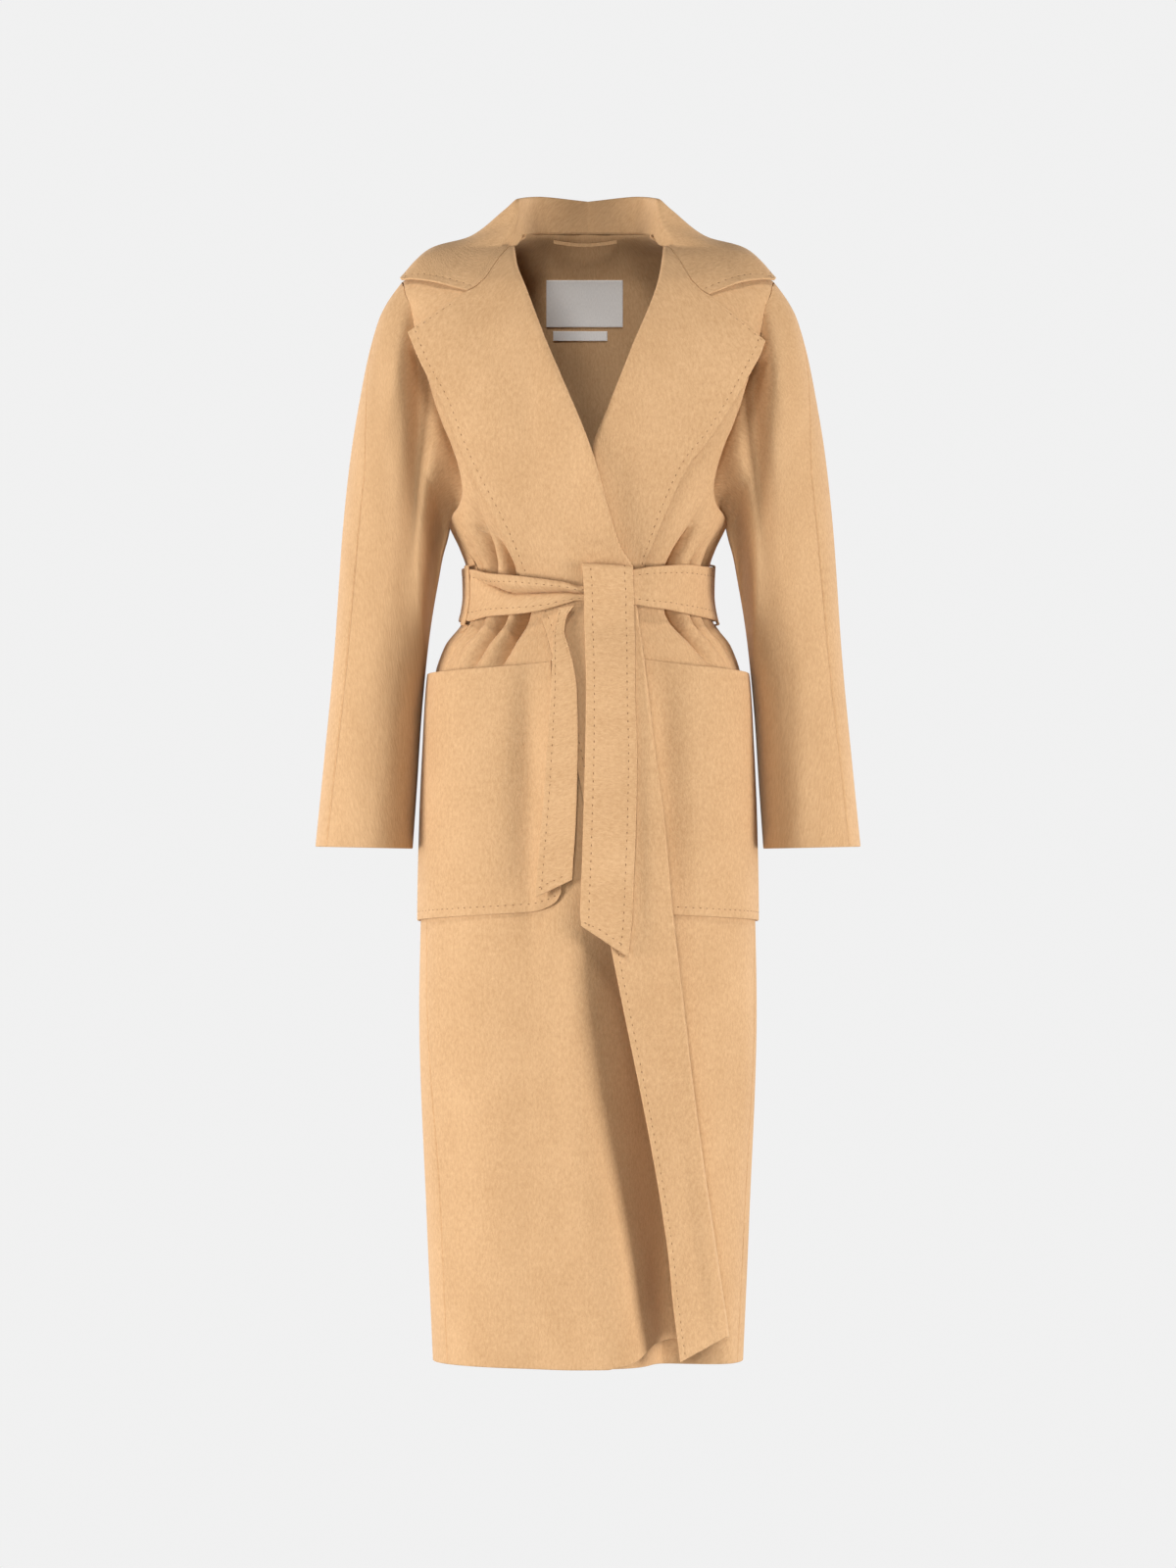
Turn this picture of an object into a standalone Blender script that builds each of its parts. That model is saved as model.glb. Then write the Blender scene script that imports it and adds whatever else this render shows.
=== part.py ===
"""Long belted wrap coat in double-faced wool, filled out as if worn, with no wearer.

The tables are in millimetres, as the coat is seen from the front at VIEW_DISTANCE:
x to the wearer's left, drop down from the neck points, y to the back. true_place()
takes the perspective out again, so the solids have the coat's real sizes.
Every cloth piece is a middle surface (rows by columns of points) given its thickness.
"""
import math
from collections import namedtuple

import bpy
import numpy as np

MM = 0.001
VIEW_DISTANCE = 7500.0
EYE_DROP = 550.0

CLOTH = 2.4          # the double-faced wool, finished
BELT_CLOTH = 3.6     # two layers of it, sewn and turned
KEEPER_CLOTH = 1.6   # the narrow belt keepers
RIBBON = 1.0         # labels and hanger loop
SEAM = 0.3           # left between two sewn edges
PLY = CLOTH + SEAM   # from one layer's middle to the middle of the layer lying on it
HEM_DROP = 1138.0
SHOULDER_DROP = 38.0
UNDERARM_DROP = 286.0

CAMEL = (0.60, 0.38, 0.18, 1.0)
SATIN = (0.62, 0.60, 0.56, 1.0)


def curve(xs, ys):
    """A smooth curve through a table's points that doesn't overshoot them."""
    xs = np.asarray(xs, float)
    ys = np.asarray(ys, float)
    step = np.diff(xs)
    slope = np.diff(ys) / step
    before = slope[:-1]
    after = slope[1:]
    total = np.where(before * after > 0, before + after, 1.0)
    tangent = np.empty_like(ys)
    tangent[0] = slope[0]
    tangent[-1] = slope[-1]
    tangent[1:-1] = np.where(before * after > 0, 2 * before * after / total, 0.0)

    def at(x):
        x = np.clip(x, xs[0], xs[-1])
        i = np.clip(np.searchsorted(xs, x) - 1, 0, len(step) - 1)
        s = (x - xs[i]) / step[i]
        return ((1 + 2 * s) * (1 - s) ** 2 * ys[i] + s * (1 - s) ** 2 * step[i] * tangent[i]
                + s * s * (3 - 2 * s) * ys[i + 1] + s * s * (s - 1) * step[i] * tangent[i + 1])
    return at


class Table:
    """Rows of named columns; each column is a smooth curve over the first one."""

    def __init__(self, columns, *rows):
        values = np.array(rows, float).T
        for name, column in zip(columns.split()[1:], values[1:]):
            setattr(self, name, curve(values[0], column))


def ease(value):
    value = np.clip(value, 0.0, 1.0)
    return value * value * (3 - 2 * value)


def mix(a, b, share):
    return a + (b - a) * share


def bump(distance, width):
    return np.exp(-(distance / width) ** 2)


def true_place(points):
    """Front-view measures to real ones: nearer things look larger."""
    scale = 1 + points[..., 1] / VIEW_DISTANCE
    x = points[..., 0] * scale
    drop = EYE_DROP + (points[..., 2] - EYE_DROP) * scale
    return np.stack((x, points[..., 1], -drop), -1)


def seen_drop(drop, y):
    return EYE_DROP + (drop - EYE_DROP) / (1 + y / VIEW_DISTANCE)


def material(name, colour, roughness):
    shade = bpy.data.materials.new(name)
    shade.use_nodes = True
    principled = shade.node_tree.nodes["Principled BSDF"]
    principled.inputs["Base Color"].default_value = colour
    principled.inputs["Roughness"].default_value = roughness
    return shade


def sheet(name, grid, thickness, shade, keep=None):
    """A cloth piece from the points of its middle surface."""
    rows, columns = grid.shape[:2]
    corners = []
    for row in range(rows - 1):
        for column in range(columns - 1):
            if keep is None or keep[row, column]:
                first = row * columns + column
                corners.append((first, first + 1, first + columns + 1, first + columns))
    used = sorted({index for face in corners for index in face})
    place = {index: number for number, index in enumerate(used)}
    points = (true_place(grid) * MM).reshape(-1, 3)[used]
    mesh = bpy.data.meshes.new(name)
    mesh.from_pydata(points.tolist(), [], [[place[index] for index in face] for face in corners])
    mesh.materials.append(shade)
    piece = bpy.data.objects.new(name, mesh)
    bpy.context.scene.collection.objects.link(piece)
    wall = piece.modifiers.new("wall", "SOLIDIFY")
    wall.thickness = thickness * MM
    wall.offset = 0.0
    return piece


# The form the cloth hangs on, its arm openings and its waist folds.

BODY = Table("drop half_width front back",
             (-8, 64, 30, 60), (0, 78, 36, 64), (12, 114, 47, 71), (25, 152, 57, 78),
             (38, 188, 67, 84), (55, 196, 78, 89), (90, 196, 96, 97), (150, 187, 114, 106),
             (200, 170, 121, 109), (250, 152, 115, 108), (286, 141, 106, 104), (312, 129, 99, 101),
             (331, 123, 96, 99), (357, 122, 95, 98), (383, 126, 97, 101), (410, 145, 106, 114),
             (440, 155, 113, 126), (510, 161, 120, 136), (590, 166, 125, 139), (690, 169.5, 127, 140),
             (780, 171, 126, 138), (990, 163.5, 123, 131), (1150, 156.5, 121, 126))

ARM_OPENING = Table("drop angle front_tuck back_tuck",
                    (38, 90, 0, 0), (44, 76, 0, 0), (65, 69, 2, 1), (128, 68.5, 8, 4), (156, 68, 13, 6),
                    (186, 67.5, 18, 9), (201, 66.5, 20, 10), (220, 66, 21, 10), (245, 67, 18, 8),
                    (268, 73, 9, 4), (286, 90, 0, 0))

# Angles are counted from centre front, positive to the wearer's left.
SIDE_SEAMS = Table("drop right left",
                   (286, -90, 90), (300, -76, 88), (331, -70, 87), (383, -68, 86), (440, -70, 84),
                   (690, -74, 82), (990, -66, 76), (1150, -65, 74))

Fold = namedtuple("Fold", "angle_at_belt angle_at_end belt_drop end_drop depth width")
FOLDS = (
    Fold(-54, -48, 333, 250, 11, 5.0), Fold(-37, -41, 336, 270, 8, 4.5),
    Fold(47, 49, 330, 262, 11, 4.5), Fold(68, 66, 330, 280, 6, 5.0),
    Fold(-36, -38, 376, 452, 15, 5.0), Fold(-49, -51, 380, 448, 11, 4.5), Fold(-62, -61, 382, 432, 5, 4.5),
    Fold(46, 55, 376, 428, 12, 4.5), Fold(66, 70, 380, 440, 7, 5.0),
    Fold(106, 100, 330, 258, 8, 7.5), Fold(136, 129, 330, 246, 10, 8.0), Fold(166, 160, 330, 240, 9, 8.0),
    Fold(197, 204, 330, 246, 10, 8.0), Fold(228, 236, 330, 250, 9, 8.0), Fold(258, 262, 330, 262, 8, 7.5),
    Fold(110, 104, 382, 470, 9, 7.5), Fold(141, 135, 382, 500, 11, 8.0), Fold(172, 168, 382, 490, 10, 8.0),
    Fold(205, 210, 382, 505, 11, 8.0), Fold(237, 243, 382, 480, 10, 8.0), Fold(264, 266, 382, 460, 8, 7.5),
)
FOLD_REACH = 40.0    # how far a fold runs on under the belt


def on_body(angle, drop, out=0.0):
    """A point `out` millimetres outside the body's middle surface."""
    turn = np.radians(angle)
    depth = np.where(np.cos(turn) > 0, BODY.front(drop), BODY.back(drop)) + out
    x = (BODY.half_width(drop) + out) * np.sin(turn)
    return np.stack(np.broadcast_arrays(x, -depth * np.cos(turn), drop + 0.0 * x), -1)


def angle_of(x, drop, out=0.0):
    return np.degrees(np.arcsin(np.clip(x / (BODY.half_width(drop) + out), -1, 1)))


def on_front(x, drop, out):
    return on_body(angle_of(x, drop, out), drop, out)


def x_of(angle, drop):
    return BODY.half_width(drop) * np.sin(np.radians(angle))


def waist_folds(angle, drop):
    around = np.mod(angle + 90.0, 360.0) - 90.0
    depth = 0.0 * (angle + drop)
    for fold in FOLDS:
        length = fold.end_drop - fold.belt_drop
        run = (drop - fold.belt_drop) / length
        strength = np.where(run > 0, ease(1 - run), ease(1 + run * abs(length) / FOLD_REACH))
        middle = mix(fold.angle_at_belt, fold.angle_at_end, np.clip(run, 0, 1))
        depth = depth + fold.depth * strength * bump(around - middle, fold.width)
    return depth


def arm_tuck(angle, drop):
    """How far the cloth turns in beside the arm openings."""
    around = np.abs(np.mod(angle + 180.0, 360.0) - 180.0)
    front = around < 90
    beside = np.where(front, ARM_OPENING.angle(drop) - around, around - 180 + ARM_OPENING.angle(drop))
    depth = np.where(front, ARM_OPENING.front_tuck(drop), ARM_OPENING.back_tuck(drop))
    inside = (drop > SHOULDER_DROP) & (drop < UNDERARM_DROP)
    return np.where(inside, depth * bump(beside * 2.4, 15.0), 0.0)


def body_cloth(angle, drop, out=0.0):
    return on_body(angle, drop, out - waist_folds(angle, drop) - arm_tuck(angle, drop))


def side_limit(drop, seam):
    """The angle at which a panel ends: shoulder seam, arm opening, then side seam."""
    if drop < SHOULDER_DROP:
        return 90.0
    return float(ARM_OPENING.angle(drop)) if drop < UNDERARM_DROP else abs(float(seam(drop)))


def seam_angle(angle, drop):
    """Half a seam's gap, as an angle."""
    turn = np.radians(angle)
    reach = np.hypot(BODY.half_width(drop) * np.cos(turn), BODY.front(drop) * np.sin(turn))
    return np.degrees(SEAM / np.maximum(reach, 20.0))


def level(points, drop):
    """Lets the rows near the hem follow the level hem of the real coat."""
    share = ease((drop - 900) / (HEM_DROP - 900))
    points[:, 2] += share * (seen_drop(HEM_DROP, points[:, 1]) - HEM_DROP)
    return points


# The two fronts, each with its lapel cut in one and turned back along its roll.

RIGHT_ROLL = Table("drop x", (2, -76), (19, -73.5), (44, -64), (89, -47), (210, 3), (310, 33), (328, 44),
                   (367, 48.6), (426, 56.7), (518, 68), (591, 78), (676, 86), (748, 94), (1030, 129),
                   (1119, 142), (1150, 145))
RIGHT_EDGE = Table("drop x", (89, -184), (120, -171), (165, -147), (194, -136), (226, -122), (289, -90),
                   (336, -70), (380, -48), (412, -38), (720, 24), (1030, 82), (1081, 87), (1140, 94.5))
RIGHT_EDGE_DROP = Table("drop edge_drop", (2, 89), (60, 121), (130, 176), (210, 242), (310, 324), (367, 377),
                        (426, 434), (676, 684), (1030, 1036), (1138, 1140))
LEFT_ROLL = Table("drop x", (2, 78), (30, 74), (106, 45), (164, 22), (206, 6), (250, 2), (300, 14), (340, 33),
                  (372, 43))
LEFT_EDGE = Table("drop x", (98, 181), (112, 176), (123, 170), (155, 152), (193, 128), (225, 103), (310, 64),
                  (325, 58), (374, 54))
LEFT_EDGE_DROP = Table("drop edge_drop", (2, 98), (60, 127), (130, 184), (210, 248), (310, 322), (372, 374))
LEFT_LOWER_EDGE = Table("drop x", (372, 43), (420, 30), (600, 12), (1150, 8))
LEFT_BREAK_DROP = 372.0
LAPEL_TOP_DROP = 2.0

# Along the coat: radius of the turned edge, rise of the upper front, stand of the free edge.
LAYERS = Table("drop roll rise stand",
               (0, 3.6, 11, 12), (60, 3.6, 11, 8), (160, 3.6, 11, 2), (290, 3.6, 11, 2), (325, 1.9, 8, 0),
               (357, 1.9, 7.4, 0), (390, 1.9, 8, 0), (430, 3.4, 10, 1.5), (700, 3.6, 10, 2), (1150, 4, 10, 3))
HOLLOW = Table("drop depth left right", (690, 0, 26, 26), (780, 8, 34, 27), (880, 15, 42, 28), (1000, 22, 48, 28),
               (1150, 28, 52, 28))
HEM_LIFT = Table("x lift", (20, 0), (40, 4), (54, 9), (68, 17), (81, 22), (92, 23), (142, 28))
GORGE_DIP = Table("share dip", (0, 0), (0.07, 1.5), (0.16, 6), (0.25, 12), (0.33, 12), (0.44, 8), (0.68, 4), (1, 0))

ARM_ROWS = (38, 44, 55, 76, 105, 135, 165, 192, 216, 240, 263, 286)
SKIRT_ROWS = (300, 315, 329, 350, 371, 385, 399, 414, 432, 460, 510, 580, 660, 740, 830, 920, 1000, 1075, 1138)
FRONT_ROWS = (2, 10, 19, 28) + ARM_ROWS + SKIRT_ROWS
BODY_SHARES = np.linspace(0, 1, 15)
ROLL_TURNS = np.radians((36, 72, 108, 144))
LAPEL_SHARES = np.array((0, 0.1, 0.28, 0.46, 0.64, 0.82, 1.0))


def rise(x, drop):
    """The upper front rises where the lower front lies under it."""
    return LAYERS.rise(drop) * ease((x + 66) / 52)


def hollow(x, drop):
    """The long trough beside the turned-back edge of the skirt."""
    beside = x - RIGHT_EDGE.x(drop) - 2
    width = np.where(beside < 0, HOLLOW.left(drop), HOLLOW.right(drop))
    return np.where(drop > 690, HOLLOW.depth(drop) * bump(beside, width), 0.0)


def hem_lift(x, drop):
    return HEM_LIFT.lift(x) * np.clip((drop - 700) / (HEM_DROP - 700), 0, 1) ** 2


def right_front(angle, drop, out=0.0):
    x = x_of(angle, drop)
    point = body_cloth(angle, drop, out + rise(x, drop) - hollow(x, drop))
    point[..., 2] -= hem_lift(x, drop)
    return point


def left_front(angle, drop, out=0.0):
    return body_cloth(angle, drop, out - hollow(x_of(angle, drop), drop))


def lapel_out(share, drop):
    """How far a lapel's middle stands off its front, from roll to free edge."""
    flat = mix(2 * LAYERS.roll(drop), PLY + 0.6, ease(share / 0.45))
    return flat + LAYERS.stand(drop) * share ** 3


def right_lapel(share, drop, roll_drop):
    """Points of the upper front's turned-back part; share runs from roll to free edge."""
    edge_drop = RIGHT_EDGE_DROP.edge_drop(drop)
    x = mix(RIGHT_ROLL.x(drop) - LAYERS.roll(drop), RIGHT_EDGE.x(edge_drop), share)
    down = mix(roll_drop, edge_drop, share) + GORGE_DIP.dip(share) * ease((40 - drop) / 38)
    return on_front(x, down, rise(x, down) + lapel_out(share, drop))


def left_lapel(share, drop, roll_drop):
    edge_drop = LEFT_EDGE_DROP.edge_drop(drop)
    x = mix(LEFT_ROLL.x(drop) + LAYERS.roll(drop), LEFT_EDGE.x(edge_drop), share)
    down = mix(roll_drop, edge_drop, share) + GORGE_DIP.dip(share) * ease((40 - drop) / 38)
    return on_front(x, down, lapel_out(share, drop))


def front_grid(front, lapel, roll_x, seam, side):
    """Rows run from the side seam to the roll, round it, and back over the front."""
    grid = []
    for drop in FRONT_ROWS:
        limit = side_limit(drop, seam)
        roll = LAYERS.roll(drop)
        start = -side * (limit - seam_angle(limit, drop))
        end_x = roll_x(drop) - side * roll
        end = angle_of(end_x, drop, rise(end_x, drop) - hollow(end_x, drop) if side > 0 else 0.0)
        row = level(front(mix(start, end, BODY_SHARES), float(drop)), drop)
        turned = lapel(LAPEL_SHARES, float(drop), row[-1, 2])
        middle = (row[-1] + turned[0]) / 2
        half = (row[-1] - turned[0]) / 2
        edge = [middle + half * math.cos(turn) + (side * roll * math.sin(turn), 0, 0) for turn in ROLL_TURNS]
        grid.append(np.vstack((row, edge, turned)))
    return np.array(grid)


def left_edge_x(drop):
    return LEFT_ROLL.x(drop) if drop < LEFT_BREAK_DROP else LEFT_LOWER_EDGE.x(drop)


for thing in list(bpy.data.objects):
    bpy.data.objects.remove(thing)

WOOL = material("camel_wool", CAMEL, 0.85)
BLANK_SATIN = material("satin_label", SATIN, 0.45)

sheet("front_right", front_grid(right_front, right_lapel, RIGHT_ROLL.x, SIDE_SEAMS.right, 1), CLOTH, WOOL)

left_grid = front_grid(left_front, left_lapel, left_edge_x, SIDE_SEAMS.left, -1)
left_keep = np.ones((left_grid.shape[0] - 1, left_grid.shape[1] - 1), bool)
turned_rows = sum(drop < LEFT_BREAK_DROP for drop in FRONT_ROWS)
left_keep[turned_rows - 1:, len(BODY_SHARES) - 1:] = False
sheet("front_left", left_grid, CLOTH, WOOL, keep=left_keep)

# The back, in two halves that meet at a centre seam.

BACK_ROWS = (-8, 0, 9, 18, 28) + ARM_ROWS + SKIRT_ROWS
BACK_SHARES = np.linspace(0, 1, 12)

for side, name, seam in ((1, "back_left", SIDE_SEAMS.left), (-1, "back_right", SIDE_SEAMS.right)):
    grid = []
    for drop in BACK_ROWS:
        limit = side_limit(drop, seam)
        start = limit if drop >= UNDERARM_DROP else 180 - limit
        centre_gap = math.degrees(SEAM / BODY.half_width(drop))
        angles = mix(start + seam_angle(limit, drop), 180 - centre_gap, BACK_SHARES)
        grid.append(level(body_cloth(angles if side > 0 else 360 - angles, float(drop)), drop))
    sheet(name, np.array(grid), CLOTH, WOOL)

# The sleeves, each in a front and a back half that meet over the arm and under it.
# seam: degrees the over-arm seam lies forward of the arm's outer line.

SLEEVE = Table("ring over_out over_drop under_out under_drop front back middle fold web seam",
               (0, 188, 38, 141, 286, 46, 48, 0, 0.62, 1.0, 0),
               (1, 207, 64, 144, 300, 53, 55, 0, 0.66, 1.0, 2),
               (2, 221, 106, 149, 318, 57, 59, 1, 0.70, 1.0, 12),
               (3, 232, 160, 154, 345, 58, 61, 3, 0.75, 0.9, 33),
               (4, 241, 216, 160, 380, 58, 61, 5, 0.84, 0.6, 47),
               (5, 249, 290, 165, 418, 58, 60, 6, 0.93, 0.25, 48),
               (6, 258, 420, 171, 482, 57, 59, 4, 1.0, 0.0, 44),
               (7, 268, 525, 175.5, 552, 57, 58, 0, 1.0, 0.0, 41),
               (8, 277, 614, 180, 616, 57, 57, -4, 1.0, 0.0, 39))
SLEEVE_RINGS = (0, 0.3, 0.65, 1.05, 1.6, 2.3, 3.0, 3.7, 4.3, 4.9, 5.5, 6.3, 7.1, 8.0)
ARM_SHARES = (np.array(ARM_ROWS) - SHOULDER_DROP) / (UNDERARM_DROP - SHOULDER_DROP)
ARM_TURNS = np.arccos(1 - 2 * ARM_SHARES)
ARM_GAP = 2.6        # between the arm opening's edge and the sleeve, which meet at an angle


def sleeve_point(side, ring, turn):
    """turn runs from the arm's outer line (0) by the front to the under-arm (pi), back to 2 pi."""
    share = (1 - math.cos(turn)) / 2
    front = turn < math.pi
    fold = SLEEVE.fold(ring)
    if front:
        falling = 1 - ease((share - fold) / max(1 - fold, 0.02))
        rising = math.sqrt(1 - (1 - min(2 * share, 1)) ** 2)
        depth = -SLEEVE.front(ring) * mix(math.sin(turn), rising * falling, SLEEVE.web(ring))
    else:
        depth = -SLEEVE.back(ring) * math.sin(turn)
    tube = np.array((mix(SLEEVE.over_out(ring), SLEEVE.under_out(ring), share), SLEEVE.middle(ring) + depth,
                     mix(SLEEVE.over_drop(ring), SLEEVE.under_drop(ring), share)))
    drop = np.float64(mix(SHOULDER_DROP, UNDERARM_DROP, share))
    angle = ARM_OPENING.angle(drop)
    opening = body_cloth(angle if front else 180 - angle, drop)
    opening[0] += ARM_GAP
    return mix(opening, tube, ease(ring / 1.3)) * (side, 1, 1)


for side, name in ((-1, "right"), (1, "left")):
    for half in ("front", "back"):
        grid = []
        for ring in SLEEVE_RINGS:
            seam = math.radians(SLEEVE.seam(ring))
            over_gap = mix(0.06, 0.006, ease(ring))
            under_gap = mix(0.006, 0.046, SLEEVE.web(ring))
            if half == "front":
                turns = mix(seam + over_gap, math.pi - 0.006, ARM_TURNS / math.pi)
            else:
                turns = mix(2 * math.pi + seam - over_gap, math.pi + under_gap, ARM_TURNS / math.pi)
            grid.append([sleeve_point(side, ring, turn % (2 * math.pi)) for turn in turns])
        sheet("sleeve_" + name + "_" + half, np.array(grid), CLOTH, WOOL)

# The collar: a stand that rises from the neck seam, rolls over and falls on the shoulders.

Rib = namedtuple("Rib", "station seam fold middle edge")
RIBS = (
    Rib(0.00, (0, 60, -11), (0, 69, -43), (0, 86, -8), (0, 103, 52)),
    Rib(0.28, (46, 44, -11), (50, 52, -48), (76, 74, -12), (114, 90, 48)),
    Rib(0.52, (66, 6, -11), (71, 12, -46), (117, 24, -9), (190, 32, 31)),
    Rib(0.63, (74, -6, -6), (76, -4, -23), (124, 8, -4), (191, 12, 31)),
    Rib(0.72, (84, -12, 1), (88, -16, -4), (133, -10, 5), (191.5, 2, 31)),
    Rib(0.86, (101, -52, 34), (108, -46, 22), (143, -30, 19), (191.5, -8, 31)),
    Rib(1.00, (122, -64, 46.5), (131, -62, 43.5), (156, -48, 38), (190.5, -18, 32)),
)
GORGE_STATION = 0.72
GORGE_SHARE = 0.42   # of the lapel's top edge, from the roll to the notch
COLLAR_STATIONS = np.linspace(-1, 1, 29)
COLLAR_SHARES = (0, 0.14, 0.27, 0.34, 0.4, 0.46, 0.53, 0.64, 0.76, 0.88, 1.0)


def through(points, shares):
    """Points along a rounded line through the given ones."""
    points = np.array(points, float)
    spans = len(points) - 1
    padded = np.vstack((2 * points[0] - points[1], points, 2 * points[-1] - points[-2]))
    line = []
    for share in shares:
        i = min(int(share * spans), spans - 1)
        s = share * spans - i
        a, b, c, d = padded[i:i + 4]
        line.append(0.5 * (2 * b + (c - a) * s + (2 * a - 5 * b + 4 * c - d) * s * s
                           + (3 * b - a - 3 * c + d) * s ** 3))
    return np.array(line)


def rib_at(station):
    stations = [rib.station for rib in RIBS]
    return [np.array([curve(stations, [getattr(rib, part)[axis] for rib in RIBS])(abs(station))
                      for axis in range(3)]) for part in Rib._fields[1:]]


collar_grid = []
for station in COLLAR_STATIONS:
    side = math.copysign(1, station)
    seam, fold, middle, edge = rib_at(station)
    gorge = (abs(station) - GORGE_STATION) / (1 - GORGE_STATION)
    if gorge >= -0.05:
        lapel = left_lapel if side > 0 else right_lapel
        top_edge = lapel(LAPEL_SHARES, LAPEL_TOP_DROP, LAPEL_TOP_DROP) * (side, 1, 1)
        share = GORGE_SHARE * max(gorge, 0)
        seam = np.array([np.interp(share, LAPEL_SHARES, top_edge[:, axis]) for axis in range(3)])
        seam += (0, 0, -1.8)
        fold = mix(seam, middle, 0.2)
    line = through((seam, mix(seam, fold, 0.62), fold, mix(fold, middle, 0.3), middle, edge), COLLAR_SHARES)
    collar_grid.append(line * (side, 1, 1))
sheet("collar", np.array(collar_grid), CLOTH, WOOL)

# The two patch pockets, made from their fronts' points and open at the top.

Pocket = namedtuple("Pocket", "name inner_x inner_x_low outer_angle top_inner top_outer bottom_inner bottom_outer")
POCKETS = (
    Pocket("pocket_right", -35, -25, -97, 424, 440, 677, 690),
    Pocket("pocket_left", 52, 62, 97, 421, 440, 681, 690),
)
POCKET_STAND = 13.0
POCKET_LAY = PLY + 1.0
POCKET_CORNER = 17.0
POCKET_ACROSS = np.array((0, 0.02, 0.06, 0.14, 0.27, 0.4, 0.54, 0.68, 0.82, 0.93, 1.0))
POCKET_DOWN = np.array((0, 0.08, 0.22, 0.4, 0.58, 0.76, 0.9, 0.96, 1.0))

for pocket in POCKETS:
    front = right_front if pocket.outer_angle < 0 else left_front
    grid = []
    for down in POCKET_DOWN:
        drop = mix(mix(pocket.top_inner, pocket.top_outer, POCKET_ACROSS ** 0.7),
                   mix(pocket.bottom_inner, pocket.bottom_outer, POCKET_ACROSS ** 0.6), down)
        cut = np.clip(1 - POCKET_ACROSS / 0.14, 0, 1)
        drop = drop - POCKET_CORNER * (1 - np.sqrt(1 - cut ** 2)) * down ** 12
        inner = angle_of(mix(pocket.inner_x, pocket.inner_x_low, down), drop)
        angle = mix(inner, pocket.outer_angle, POCKET_ACROSS)
        stand = POCKET_STAND * np.sin(math.pi * POCKET_ACROSS) ** 1.2 * (1 - down) ** 0.8
        grid.append(front(angle, drop, POCKET_LAY + stand + waist_folds(angle, drop)))
    sheet(pocket.name, np.array(grid), CLOTH, WOOL)

# The belt: a band round the waist, the two ends that hang from its knot, and its keepers.

BAND = Table("angle top bottom out",
             (20, 331, 367, 15), (28, 328, 370, 14.6), (37, 327, 372, 9.5), (50, 326, 376, 4.8), (70, 328, 381, 4.3),
             (90, 329, 384, 4.3), (180, 330, 385, 4.3), (270, 330, 385, 4.3), (292, 331, 384, 4.3), (310, 335, 379, 6),
             (326, 337, 377, 11.5), (338, 340, 374, 14.6), (351, 345, 366, 14.6), (356, 349, 363, 14.6),
             (371, 342, 366, 14.6))
BAND_ANGLES = np.array((20, 24, 28, 33, 38, 45, 54, 64, 76, 88, 100, 115, 130, 145, 160, 175, 190, 205, 220, 235,
                        250, 265, 277, 288, 297, 305, 313, 321, 328, 334, 340, 346, 351, 356, 363, 371))

belt_grid = []
for share in (0, 0.33, 0.67, 1):
    drop = mix(BAND.top(BAND_ANGLES), BAND.bottom(BAND_ANGLES), share)
    belt_grid.append(on_body(BAND_ANGLES, drop, BAND.out(BAND_ANGLES)))
sheet("belt_band", np.array(belt_grid), BELT_CLOTH, WOOL)

Row = namedtuple("Row", "left_drop right_drop left_x right_x left_out right_out")
LONG_END = (
    Row(337, 338, -4, 45, 15.4, 16.4), Row(330, 333, -6, 46, 16.4, 17.2), Row(326, 329, -6, 46, 19.6, 20.4),
    Row(329, 333, -6, 46, 22, 22.4), Row(340, 342, -5, 46, 22.4, 22.8), Row(358, 358, -4, 47, 21.6, 22),
    Row(376, 376, -4, 47, 21.4, 21.6), Row(410, 410, -3, 48, 21.6, 21), Row(450, 450, -2, 48, 21.6, 20.6),
    Row(520, 520, -3, 50, 21, 19.6), Row(590, 590, -5, 49, 20.4, 19.2), Row(640, 640, -6.5, 47, 19.8, 19),
    Row(680, 688, -8, 45, 19.4, 18.6), Row(695, 727, -7, 41, 19.2, 18.4),
)
SHORT_END = (
    Row(371, 368, -30, -14, 17.6, 18), Row(384, 380, -32, -22, 18.4, 18.2), Row(396, 394, -35, -24, 18.6, 18.2),
    Row(412, 412, -36, -19, 18.8, 18.4), Row(432, 432, -37, -14, 18.9, 18.4), Row(455, 455, -38, -11, 18.9, 18.3),
    Row(500, 500, -41, -10, 18.8, 18.2), Row(560, 556, -45, -11, 18.6, 18), Row(610, 604, -49.5, -13, 18.4, 17.8),
    Row(640, 630, -52, -15, 18.2, 17.6), Row(666, 648, -54, -16, 18, 17.4),
)


def hanging(rows, shares):
    """A strip given by its two edges, hung on the coat's front."""
    grid = []
    for row in rows:
        drop = mix(row.left_drop, row.right_drop, shares)
        x = mix(row.left_x, row.right_x, shares)
        out = mix(row.left_out, row.right_out, shares)
        grid.append(on_front(x, drop, out))
    return np.array(grid)


sheet("belt_end_long", hanging(LONG_END, np.linspace(0, 1, 5)), BELT_CLOTH, WOOL)
sheet("belt_end_short", hanging(SHORT_END, np.linspace(0, 1, 4)), BELT_CLOTH, WOOL)

Keeper = namedtuple("Keeper", "name angle")
KEEPERS = (Keeper("belt_keeper_right", -73), Keeper("belt_keeper_left", 97))
KEEPER_HALF = 2.2    # degrees
KEEPER_PATH = Table("share drop out", (0, 319, 3.2), (0.15, 324, 4.2), (0.25, 327, 7.8), (0.5, 357, 7.8),
                    (0.75, 388, 7.8), (0.85, 392, 4.2), (1, 397, 3.6))

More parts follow.
